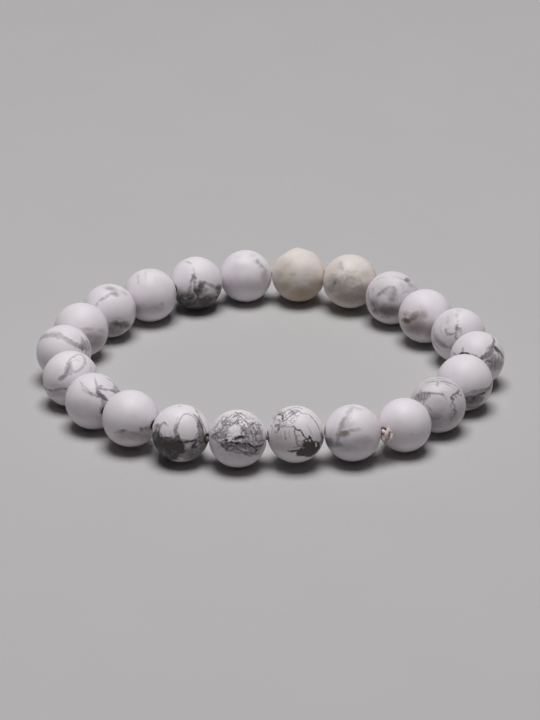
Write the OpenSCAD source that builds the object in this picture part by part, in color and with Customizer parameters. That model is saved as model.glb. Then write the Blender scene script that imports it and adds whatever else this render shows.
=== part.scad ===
// Beaded stretch bracelet: drilled stone beads strung on a closed elastic cord, lying flat.
// Millimetres, Z up. The origin is the middle of the base of the bracelet's bounding box.

/* [Beads] */
// Nominal diameter of a bead
bead_d = 8; // [6:0.25:12]
// Clear gap left between neighbouring beads
bead_gap = 0.06; // [0.02:0.02:0.3]
// Depth of the chamfer round each mouth of the drilled hole
mouth_chamfer = 0.3; // [0.1:0.05:0.5]

/* [Cord] */
// Diameter of the elastic cord
cord_d = 0.7; // [0.4:0.05:1]
// Play between the cord and the wall of the drilled hole
cord_play = 0.2; // [0.15:0.05:0.4]
// Length of cord on each side of a bend that the bend takes up
cord_bend = 0.5; // [0.2:0.1:1]

/* [Knot] */
// Number of the bead that the knot follows, clockwise
knot_after = 10; // [1:1:22]
// Thickness of the strand drawn up in the knot
knot_strand_d = 0.48; // [0.3:0.02:0.6]
// Gap between the knot and whatever it is drawn against
knot_clearance = 0.05; // [0.02:0.01:0.2]
// Angle by which the knot is rolled up round the cord
knot_roll = 8; // [0:1:30]

/* [Loop] */
// Bearing of the first bead, seen from above
first_bearing = 97; // [0:1:359]

/* [Hidden] */
// The beads in order, clockwise from the back as seen from above.
// size, shift and lift are shares of bead_d: the bead's own diameter, how far it stands out of the
// loop's curve, and how far the cord holds it off the surface. tilt turns its hole, in degrees.
// Columns: size, shift, lift, tilt, stone
bead_rows = [
    [0.985,  0.020, 0.000,  -2.0, "veined"],
    [1.010, -0.005, 0.020,  -0.5, "cream"],
    [1.020,  0.030, 0.040,   2.5, "cream"],
    [0.995, -0.010, 0.010,  -6.0, "veined"],
    [1.000, -0.080, 0.015,   0.0, "white"],
    [1.005,  0.030, 0.015,   8.0, "veined"],
    [0.985,  0.105, 0.025,  -0.5, "veined"],
    [1.015, -0.060, 0.000,  -8.5, "white"],
    [0.995, -0.085, 0.000,   5.5, "veined"],
    [0.955,  0.090, 0.010,   4.5, "white"],
    [0.995,  0.025, 0.025, -10.5, "veined"],
    [0.995, -0.085, 0.060,   4.0, "veined"],
    [1.010, -0.015, 0.005,   3.0, "veined"],
    [1.010,  0.015, 0.000,  -3.5, "veined"],
    [1.005,  0.030, 0.040,   4.5, "white"],
    [1.005,  0.000, 0.005,  -6.0, "veined"],
    [1.005, -0.010, 0.000,   6.0, "veined"],
    [1.000,  0.030, 0.045,  -2.5, "veined"],
    [1.005, -0.020, 0.025,  -3.0, "white"],
    [1.000,  0.020, 0.000,   5.0, "veined"],
    [1.000, -0.010, 0.000,  -8.0, "white"],
    [0.995, -0.025, 0.010,   7.5, "veined"],
];
bead_count = len(bead_rows);

// Waves that draw the loop out of round.
// Columns: lobes round the loop, swing as a share of the mean radius, bearing from the first bead
loop_waves = [
    [2, 0.037,  77],
    [3, 0.024, 112],
    [4, 0.012,  73],
];

// The second bead is lumpy: low nubs stand out of its sphere, and flats are ground off it.
lumpy_bead = 2;
// Columns: bearing, elevation, ball's radius and stand-out as shares of the bead's radius
nubs = [
    [160, 34, 0.60, 0.025],
    [ 90, 64, 0.45, 0.042],
    [ 30, 45, 0.60, 0.015],
];
// Columns: bearing, elevation, depth as a share of the bead's radius
flats = [
    [150, 48, 0.035],
    [ 62, 57, 0.012],
];

// Proportions of the knot's three-lobed path, as shares of its strand's thickness: the ring that
// the strand winds round, its weave in and out of that ring, and its rise to each side of it
knot_ring = 1.18;
knot_weave = 0.56;
knot_rise = 0.82;

cord_sides = 8;
knot_sides = 8;
knot_steps = 48;
fit_passes = 8;
bore_d = cord_d + 2 * cord_play;

function bead_name(i) = str("bead_", i < 9 ? "0" : "", i + 1);

function sum(values) = values * [for (v = values) 1];
function unit(v) = v / norm(v);
function wrap(i) = (i + bead_count) % bead_count;
function heading(bearing, elevation) =
    [cos(elevation) * cos(bearing), cos(elevation) * sin(bearing), sin(elevation)];

// Each bead's radius, its shift out of the loop's curve and the height of its middle
function bead_r(i) = bead_rows[wrap(i)][0] * bead_d / 2;
function bead_shift(i) = bead_rows[wrap(i)][1] * bead_d;
function rest_height(i) = bead_r(i) + bead_rows[wrap(i)][2] * bead_d;

// Distance on the level between a bead's middle and the next one's, when they lie bead_gap apart
function level_pitch(i) =
    sqrt(pow(bead_r(i) + bead_r(i + 1) + bead_gap, 2) - pow(rest_height(i) - rest_height(i + 1), 2));

// Place of a bead's middle at a bearing, on the loop of a mean radius
function on_loop(i, bearing, mean_r) =
    let (
        waves = [for (w = loop_waves) w[1] * cos(w[0] * (bearing - first_bearing - w[2]))],
        r = mean_r * (1 + sum(waves)) + bead_shift(i)
    ) [r * cos(bearing), r * sin(bearing)];

// Turn to the next bead: a guess is corrected until the two middles are one pitch apart
function turn_to_next(i, bearing, mean_r, turn, passes) =
    passes == 0 ? turn :
    let (reach = norm(on_loop(i + 1, bearing - turn, mean_r) - on_loop(i, bearing, mean_r)))
    turn_to_next(i, bearing, mean_r, turn * level_pitch(i) / reach, passes - 1);

// Bearings of all the beads, walked clockwise from the first one back to itself
function bearings(mean_r, i = 0, bearing = first_bearing) =
    i == bead_count ? [bearing] :
    concat([bearing], bearings(mean_r, i + 1,
        bearing - turn_to_next(i, bearing, mean_r, 360 / bead_count, fit_passes)));

// Mean radius at which the walk closes: what it sweeps too much or too little corrects the radius
function closed_r(mean_r, passes) =
    passes == 0 ? mean_r :
    let (walk = bearings(mean_r))
    closed_r(mean_r * (walk[0] - walk[bead_count]) / 360, passes - 1);

loop_r = closed_r(bead_count * (bead_d + bead_gap) / (2 * PI), fit_passes);
loop_bearings = bearings(loop_r);
level_places = [for (i = [0:bead_count - 1]) on_loop(i, loop_bearings[i], loop_r)];

// Middle of the bounding box of all the beads, which becomes the origin
box_middle = [for (axis = [0, 1])
    let (
        low = min([for (i = [0:bead_count - 1]) level_places[i][axis] - bead_r(i)]),
        high = max([for (i = [0:bead_count - 1]) level_places[i][axis] + bead_r(i)])
    ) (low + high) / 2];
centres = [for (i = [0:bead_count - 1])
    [level_places[i].x - box_middle.x, level_places[i].y - box_middle.y, rest_height(i)]];

function centre(i) = centres[wrap(i)];
function link(i) = unit(centre(i + 1) - centre(i));

// Direction of a bead's hole: between the links before and after it, turned by its tilt
function bore_axis(i) =
    let (mean = unit(link(i - 1) + link(i)), tilt = bead_rows[wrap(i)][3])
    [mean.x * cos(tilt) - mean.y * sin(tilt), mean.x * sin(tilt) + mean.y * cos(tilt), mean.z];

// Corner of the cord between a bead and the next: midway between the two mouths that face there
function cord_corner(i) =
    (centre(i) + bead_r(i) * bore_axis(i) + centre(i + 1) - bead_r(i + 1) * bore_axis(i + 1)) / 2;
function cord_run(i) = unit(cord_corner(i) - cord_corner(i - 1));

// Three points a bead: where the cord leaves the bend behind it, where it enters the bend in
// front, and the bend's own middle, rounded like a parabola's tip
cord_path = [for (i = [0:bead_count - 1])
    let (
        leaves = cord_corner(i - 1) + cord_bend * cord_run(i),
        enters = cord_corner(i) - cord_bend * cord_run(i),
        next = cord_corner(i) + cord_bend * cord_run(i + 1)
    ) each [leaves, enters, cord_corner(i) / 2 + (enters + next) / 4]];

// The knot's path in its own frame, X towards the cord and Z along it: a strand that goes twice
// round a ring while it weaves three times in and out of it and from side to side
knot_curve = [for (k = [0:knot_steps - 1])
    let (
        turn = 360 * k / knot_steps,
        r = knot_strand_d * (knot_ring + knot_weave * cos(3 * turn)),
        rise = knot_strand_d * knot_rise * sin(3 * turn)
    ) [r * cos(2 * turn), r * sin(2 * turn), rise]];
knot_core = [for (k = [0:knot_steps - 1])
    knot_strand_d * knot_ring * heading(2 * 360 * k / knot_steps, 0)];

// Where the knot sits: the contact point of its two beads, and the directions along the cord,
// out of the groove between the beads, and up along that groove
knot_bead = knot_after - 1;
knot_along = link(knot_bead);
knot_contact = centre(knot_bead) + (bead_r(knot_bead) + bead_gap / 2) * knot_along;
level_out = unit(cross([0, 0, 1], knot_along));
knot_out = cos(knot_roll) * level_out + sin(knot_roll) * cross(knot_along, level_out);
knot_up = cross(knot_along, knot_out);

// Least distance out from the contact point at which the strand clears both beads and the cord
knot_wall_r = max(bead_r(knot_bead), bead_r(knot_bead + 1));
knot_reach = knot_wall_r + knot_strand_d / 2 + knot_clearance;
clear_of_beads = max([for (p = knot_curve)
    p.x + sqrt(max(0, pow(knot_reach, 2) - pow(p.y, 2)
        - pow(knot_wall_r + bead_gap / 2 - abs(p.z), 2)))]);
clear_of_cord = norm(cord_corner(knot_bead) - knot_contact) + cord_d / 2 + knot_clearance
    + knot_strand_d * (knot_ring + knot_weave + 0.5);
knot_middle = knot_contact + max(clear_of_beads, clear_of_cord) * knot_out;

function in_knot(p) = -p.x * knot_out + p.y * knot_up + p.z * knot_along;

function stone_colour(stone) =
    stone == "cream" ? [0.90, 0.86, 0.80] :
    stone == "veined" ? [0.80, 0.80, 0.83] : [0.93, 0.93, 0.95];

// Turns what stands on Z so that it points along a direction
module aim(direction) {
    rotate([0, acos(direction.z), atan2(direction.y, direction.x)]) children();
}

// A drilled hole through a bead's middle, with a chamfer at both mouths
module bore(r) {
    mouth = sqrt(pow(r, 2) - pow(bore_d / 2, 2)) - mouth_chamfer;
    cylinder(h = 4 * r, d = bore_d, center = true, $fn = 48);
    for (side = [0, 180])
        rotate([side, 0, 0])
            translate([0, 0, mouth])
                cylinder(h = r, r1 = bore_d / 2, r2 = bore_d / 2 + r, $fn = 48);
}

module nub(row, r) {
    translate((1 + row[3] - row[2]) * r * heading(row[0], row[1]))
        sphere(r = row[2] * r, $fn = 64);
}

module flat_cut(row, r) {
    aim(heading(row[0], row[1]))
        translate([0, 0, (2 - row[2]) * r])
            cube(2 * r, center = true);
}

module bead(i) {
    r = bead_r(i);
    color(stone_colour(bead_rows[i][4]))
        translate(centre(i))
            difference() {
                union() {
                    aim(bore_axis(i)) sphere(r = r, $fn = 96);
                    if (i == lumpy_bead - 1)
                        for (row = nubs) nub(row, r);
                }
                aim(bore_axis(i)) bore(r);
                if (i == lumpy_bead - 1)
                    for (row = flats) flat_cut(row, r);
            }
}

// A closed tube along a path. lean gives, for each point, a direction that its ring starts from.
module closed_tube(path, lean, r, sides) {
    count = len(path);
    points = [for (i = [0:count - 1])
        let (
            along = unit(path[(i + 1) % count] - path[(i + count - 1) % count]),
            side = unit(cross(lean[i], along)),
            up = cross(along, side)
        )
        for (k = [0:sides - 1])
            path[i] + r * (cos(360 * k / sides) * side + sin(360 * k / sides) * up)];
    faces = [for (i = [0:count - 1], k = [0:sides - 1])
        let (here = i * sides, there = ((i + 1) % count) * sides, next = (k + 1) % sides)
        each [[here + k, there + k, there + next], [here + k, there + next, here + next]]];
    polyhedron(points = points, faces = faces, convexity = 10);
}

module elastic_cord() {
    color([0.80, 0.74, 0.66])
        closed_tube(cord_path, [for (p = cord_path) [0, 0, 1]], cord_d / 2, cord_sides);
}

module knot() {
    path = [for (p = knot_curve) knot_middle + in_knot(p)];
    lean = [for (k = [0:knot_steps - 1]) in_knot(knot_curve[k] - knot_core[k])];
    color([0.86, 0.82, 0.76])
        closed_tube(path, lean, knot_strand_d / 2, knot_sides);
}

for (i = [0:bead_count - 1])
    bead(i);
elastic_cord();
knot();
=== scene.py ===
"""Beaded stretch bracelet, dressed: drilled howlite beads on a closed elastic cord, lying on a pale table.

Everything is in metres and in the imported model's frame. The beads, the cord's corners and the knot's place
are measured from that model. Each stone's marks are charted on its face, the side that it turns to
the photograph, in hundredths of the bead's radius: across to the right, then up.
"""

import logging
import math
from dataclasses import dataclass, field, replace
from enum import Enum
from itertools import chain
from typing import Any, ClassVar, Iterable

import bpy
import numpy as np
from mathutils import Matrix, Vector

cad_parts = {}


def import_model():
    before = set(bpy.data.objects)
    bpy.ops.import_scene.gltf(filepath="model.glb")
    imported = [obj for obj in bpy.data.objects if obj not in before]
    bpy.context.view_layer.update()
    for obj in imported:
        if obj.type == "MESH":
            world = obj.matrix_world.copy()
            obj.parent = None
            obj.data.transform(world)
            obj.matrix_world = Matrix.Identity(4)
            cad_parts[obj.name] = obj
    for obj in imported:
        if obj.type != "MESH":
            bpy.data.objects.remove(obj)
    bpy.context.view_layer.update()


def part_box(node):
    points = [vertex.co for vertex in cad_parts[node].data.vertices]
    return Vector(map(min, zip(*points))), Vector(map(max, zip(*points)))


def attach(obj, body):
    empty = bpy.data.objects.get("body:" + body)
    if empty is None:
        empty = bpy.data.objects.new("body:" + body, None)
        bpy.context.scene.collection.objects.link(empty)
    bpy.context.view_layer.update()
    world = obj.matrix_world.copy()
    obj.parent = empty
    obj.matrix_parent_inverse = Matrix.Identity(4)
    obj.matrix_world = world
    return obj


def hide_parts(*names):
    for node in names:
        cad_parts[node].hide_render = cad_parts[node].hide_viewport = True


MM = 0.001
ROOT_BODY = "root"
TURN = 2 * math.pi
UPWARDS = np.array([0.0, 0.0, 1.0])
log = logging.getLogger("bracelet")

Row = tuple[float, ...]
Rows = tuple[Row, ...]


# Shared helpers


def unit(v: np.ndarray) -> np.ndarray:
    """Vectors of length 1 along the last axis of v."""
    return v / np.linalg.norm(v, axis=-1, keepdims=True)


def angles(count: int) -> np.ndarray:
    """Angles evenly round one turn, in radians."""
    return np.arange(count) * TURN / count


def bent(start: np.ndarray, middle: np.ndarray, end: np.ndarray, steps: int) -> np.ndarray:
    """Points on a parabola: (1-t)^2 * start + 2t(1-t) * middle + t^2 * end, with t from 0 to 1."""
    t = np.linspace(0, 1, steps)[:, None]
    return (1 - t) ** 2 * start + 2 * t * (1 - t) * middle + t**2 * end


def grooved(phase: np.ndarray, depth: float) -> np.ndarray:
    """Shares of a bundle's radius: 1 on each filament, 1 - depth between two. phase turns once a filament."""
    return 1 - depth * (0.5 - 0.5 * np.cos(phase))


def linear(code: str) -> tuple[float, float, float, float]:
    """Turns an sRGB hex value into linear light.

    Args:
        code: the colour, such as "e6e2e6".

    Returns:
        Red, green, blue and an alpha of 1, as the shader sockets take them.
    """
    share = np.array([int(code[i : i + 2], 16) for i in (0, 2, 4)]) / 255
    light = np.where(share <= 0.04045, share / 12.92, ((share + 0.055) / 1.055) ** 2.4)
    return (*map(float, light), 1.0)


def node_vertices(node: str) -> np.ndarray:
    """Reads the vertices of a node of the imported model.

    Args:
        node: the node's name.

    Returns:
        One row of x, y and z for each vertex.
    """
    mesh = bpy.data.objects[node].data
    points = np.empty(3 * len(mesh.vertices), np.float32)
    mesh.vertices.foreach_get("co", points)
    return points.reshape(-1, 3).astype(float)


def closed_grid(rows: int, columns: int) -> np.ndarray:
    """Quads of a grid that closes on itself both ways, as a torus does.

    They face outwards when the rings run anticlockwise as seen from the row that comes next.

    Args:
        rows: rings along the first direction.
        columns: points round each ring.

    Returns:
        An array of rows * columns quads of vertex numbers.
    """
    i, k = np.meshgrid(np.arange(rows), np.arange(columns), indexing="ij")
    j, m = (i + 1) % rows, (k + 1) % columns
    corners = [i * columns + k, i * columns + m, j * columns + m, j * columns + k]
    return np.stack(corners, -1).reshape(-1, 4)


def grid_uv(rows: int, columns: int, length: float) -> np.ndarray:
    """The UV map of closed_grid: U runs along the rows in metres, V once round each ring.

    Args:
        rows: rings along the first direction.
        columns: points round each ring.
        length: the length of all the rows together.

    Returns:
        One pair for each corner of each quad.
    """
    i, k = np.meshgrid(np.arange(rows), np.arange(columns), indexing="ij")
    along = np.stack([i, i, i + 1, i + 1], -1) * (length / rows)
    round_ = np.stack([k, k + 1, k + 1, k], -1) / columns
    return np.stack([along, round_], -1).reshape(-1, 2)


@dataclass
class Surface:
    """A surface in the making.

    faces holds blocks of faces, and each block has one row of vertex numbers a face. uv holds one pair for
    each face corner, where the finish follows the surface.
    """

    points: np.ndarray
    faces: list[np.ndarray]
    uv: np.ndarray | None = None

    @staticmethod
    def rings(path: np.ndarray, along: np.ndarray, lean: np.ndarray, radius: np.ndarray) -> np.ndarray:
        """Rings round a path: point = path + radius * (cos(a) * side + sin(a) * up).

        Args:
            path: the points that the rings stand round.
            along: the path's direction at each point.
            lean: the direction that each ring's own up comes from, one for all or one a point.
            radius: one radius for each point and side, which carries the filaments' grooves.

        Returns:
            The points, ring after ring.
        """
        side = unit(np.cross(lean, along))
        up = np.cross(along, side)
        angle = angles(radius.shape[1])
        ring = np.cos(angle)[None, :, None] * side[:, None] + np.sin(angle)[None, :, None] * up[:, None]
        return (path[:, None] + radius[..., None] * ring).reshape(-1, 3)

    @classmethod
    def loop(cls, path: np.ndarray, lean: np.ndarray, radius: np.ndarray, length: float) -> "Surface":
        """A tube that closes on itself.

        Args:
            path: the closed middle line.
            lean: the direction that each ring's own up comes from.
            radius: one radius for each point and side.
            length: the middle line's length, for the UV map.

        Returns:
            The tube.
        """
        along = unit(np.roll(path, -1, 0) - np.roll(path, 1, 0))
        points = cls.rings(path, along, lean, radius)
        return cls(points, [closed_grid(*radius.shape)], grid_uv(*radius.shape, length))

    @classmethod
    def thread(cls, path: np.ndarray, lean: np.ndarray, radius: np.ndarray) -> "Surface":
        """An open tube with a face over each end.

        Args:
            path: the middle line.
            lean: the direction that each ring's own up comes from.
            radius: one radius for each point and side.

        Returns:
            The tube, closed at both ends.
        """
        count, sides = radius.shape
        points = cls.rings(path, unit(np.gradient(path, axis=0)), lean, radius)
        walls = closed_grid(count, sides)[: (count - 1) * sides]
        rim = np.arange(sides)
        ends = np.stack([rim[::-1], rim + (count - 1) * sides])
        length = float(np.linalg.norm(np.diff(path, axis=0), axis=1).sum())
        uv = np.concatenate([grid_uv(count - 1, sides, length), np.zeros((2 * sides, 2))])
        return cls(points, [walls, ends], uv)

    @classmethod
    def fibre(cls, path: np.ndarray, lean: np.ndarray, radii_mm: Row, sides: int) -> "Surface":
        """A thread that tapers evenly from the first radius to the second."""
        taper = MM * np.linspace(*radii_mm, len(path))[:, None]
        return cls.thread(path, lean, np.repeat(taper, sides, 1))

    @classmethod
    def joined(cls, parts: list["Surface"]) -> "Surface":
        """Several surfaces in one.

        Args:
            parts: surfaces that all have a UV map.

        Returns:
            One surface, which holds their points and faces in the same order.
        """
        starts = np.cumsum([0] + [len(part.points) for part in parts])
        faces = [block + start for start, part in zip(starts, parts) for block in part.faces]
        points = np.concatenate([part.points for part in parts])
        return cls(points, faces, np.concatenate([part.uv for part in parts]))

    def piece(self, name: str) -> bpy.types.Object:
        """Puts the surface into a mesh object at the origin, smooth shaded.

        Args:
            name: the object's name.

        Returns:
            The new object, linked to the scene.
        """
        mesh = bpy.data.meshes.new(name)
        faces = [face for block in self.faces for face in block.tolist()]
        mesh.from_pydata(self.points.tolist(), [], faces)
        if self.uv is not None:
            mesh.uv_layers.new(name="Surface").data.foreach_set("uv", self.uv.astype(np.float32).ravel())
        mesh.polygons.foreach_set("use_smooth", np.ones(len(faces), bool))
        mesh.validate()
        mesh.update()
        piece = bpy.data.objects.new(name, mesh)
        bpy.context.scene.collection.objects.link(piece)
        return piece


@dataclass
class NodeBench:
    """A material under construction."""

    name: str

    def __post_init__(self) -> None:
        """Makes the material, its shader and its output."""
        self.material = bpy.data.materials.new(self.name)
        self.material.use_nodes = True
        self.tree = self.material.node_tree
        self.tree.nodes.clear()
        self.shader = self.tree.nodes.new("ShaderNodeBsdfPrincipled")
        output = self.tree.nodes.new("ShaderNodeOutputMaterial")
        self.tree.links.new(self.shader.outputs["BSDF"], output.inputs["Surface"])

    def add(self, kind: str, inputs: dict[Any, Any] | tuple, output: Any = 0, **settings: Any) -> Any:
        """Adds a node with its settings and links.

        Args:
            kind: Blender's name of the node, without "ShaderNode".
            inputs: sockets to link or values to set, by socket name or number, or in the node's order.
            output: name or number of the output that is wanted.
            settings: the node's own properties.

        Returns:
            That output socket.
        """
        node = self.tree.nodes.new("ShaderNode" + kind)
        for key, value in settings.items():
            setattr(node, key, value)
        self.feed(node, inputs)
        return node.outputs[output]

    def feed(self, node: Any, inputs: dict[Any, Any] | tuple) -> None:
        """Links or sets sockets of a node that is there already.

        Args:
            node: the node.
            inputs: as in add.
        """
        for key, value in inputs.items() if isinstance(inputs, dict) else enumerate(inputs):
            if isinstance(value, bpy.types.NodeSocket):
                self.tree.links.new(value, node.inputs[key])
            else:
                node.inputs[key].default_value = value

    def strongest(self, values: Iterable[Any]) -> Any:
        """The largest of several values, or 0 where there are none.

        Each value's nodes are made just before the step that takes it up, because the renderer works
        nodes in the order of their making and has little room for results that wait.

        Args:
            values: the sockets that hold them.

        Returns:
            The socket that holds the largest, or 0.
        """
        result = 0.0
        for value in values:
            result = self.add("Math", (result, value), operation="MAXIMUM")
        return result


# Camera, table and light


@dataclass(frozen=True)
class Viewpoint:
    """Where the photograph was taken from: a long lens, half a metre away, looking down at 26 degrees."""

    aim: Row = (-0.015 * MM, -2.011 * MM, 4.0 * MM)
    distance: float = 555.85 * MM
    elevation: float = 26.037
    lens: float = 191.85
    sensor_width: float = 36.0
    nearest: float = 0.01
    farthest: float = 20.0

    def place(self) -> np.ndarray:
        """The camera's place."""
        tilt = math.radians(self.elevation)
        return np.array(self.aim) + self.distance * np.array([0, -math.cos(tilt), math.sin(tilt)])

    def up(self) -> np.ndarray:
        """The direction that is up in the picture."""
        tilt = math.radians(self.elevation)
        return np.array([0, math.sin(tilt), math.cos(tilt)])

    def build(self) -> None:
        """Makes the camera and gives it to the scene."""
        camera = bpy.data.cameras.new("Camera")
        camera.lens = self.lens
        camera.sensor_width = self.sensor_width
        camera.clip_start = self.nearest
        camera.clip_end = self.farthest
        mount = bpy.data.objects.new("Camera", camera)
        mount.location = tuple(self.place())
        mount.rotation_euler = (math.radians(90 - self.elevation), 0, 0)
        bpy.context.scene.collection.objects.link(mount)
        bpy.context.scene.camera = mount


@dataclass(frozen=True)
class SoftBox:
    """One soft studio light: a glowing square that looks at the bracelet."""

    name: str
    place: Row
    side: float
    watts: float
    tint: str = "ffffff"

    def build(self) -> None:
        """Hangs the light and turns it to the bracelet."""
        light = bpy.data.lights.new(self.name, "AREA")
        light.shape = "SQUARE"
        light.size = self.side
        light.energy = self.watts
        light.color = linear(self.tint)[:3]
        lamp = bpy.data.objects.new(self.name, light)
        lamp.location = self.place
        lamp.rotation_euler = Vector(self.place).to_track_quat("Z", "Y").to_euler()
        bpy.context.scene.collection.objects.link(lamp)


@dataclass(frozen=True)
class PaintedBoard:
    """Matt painted board: a plain even tone that is hardly speckled and has no shine."""

    colour: str = "bab8b8"
    speckle: str = "b7b5b5"
    speckle_mm: float = 1 / 0.06
    roughness: float = 0.85
    shine: float = 0.2

    def material(self) -> bpy.types.Material:
        """Makes the finish.

        Returns:
            The finished material.
        """
        bench = NodeBench("Matt painted board")
        place = bench.add("TexCoord", {}, "Object")
        lumps = {"Vector": place, "Scale": 1 / (MM * self.speckle_mm), "Detail": 3.0}
        tone = bench.add("TexNoise", lumps)
        mixed = {0: tone, 6: linear(self.colour), 7: linear(self.speckle)}
        shade = bench.add("Mix", mixed, 2, data_type="RGBA")
        look = {"Base Color": shade, "Roughness": self.roughness, "Specular IOR Level": self.shine}
        bench.feed(bench.shader, look)
        return bench.material


@dataclass(frozen=True)
class Studio:
    """A plain pale table under soft light."""

    table_side: float = 6.0
    board: PaintedBoard = PaintedBoard()
    room_colour: str = "f2f1f4"
    room_strength: float = 0.02
    lights: tuple[SoftBox, ...] = (SoftBox("Overhead softbox", (0.0, 0.03, 0.75), 0.42, 5.7),)

    def build(self) -> None:
        """Makes the table, the lights and the faint light of the room."""
        scene = bpy.context.scene
        scene.view_settings.view_transform = "Standard"
        world = bpy.data.worlds.new("Room")
        world.use_nodes = True
        backdrop = world.node_tree.nodes["Background"]
        backdrop.inputs["Color"].default_value = linear(self.room_colour)
        backdrop.inputs["Strength"].default_value = self.room_strength
        scene.world = world
        for light in self.lights:
            light.build()
        corners = self.table_side / 2 * np.array([[-1, -1, 0], [1, -1, 0], [1, 1, 0], [-1, 1, 0]])
        table = Surface(corners, [np.array([[0, 1, 2, 3]])]).piece("Table")
        table.data.materials.append(self.board.material())


# The stones' charts


@dataclass(frozen=True)
class Chart:
    """The marks on one stone's face, in hundredths of its radius.

    veins: half width and strength, then across and up of the start, a point between and the end.
    greys, stains_and_shade and clears: across and up of the middle, half width, half height, turn in degrees
    anticlockwise, and strength. A grey is mostly a cloud of mineral, the brown marks are mostly the stone's
    own, and a clear is a white island in them. A grey over the whole face dims the bead evenly, and some
    greys and brown marks on beads 2, 15, 16 and 22 carry painted shade. rings: the same for the outline of an
    ellipse, then the line's half width.
    web: the same for a fine network of veins, where the stone has one.
    blur: how much softer than usual the edges are.
    """

    veins: Rows = ()
    greys: Rows = ()
    stains_and_shade: Rows = ()
    clears: Rows = ()
    rings: Rows = ()
    web: Row = ()
    blur: float = 0.0


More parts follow.
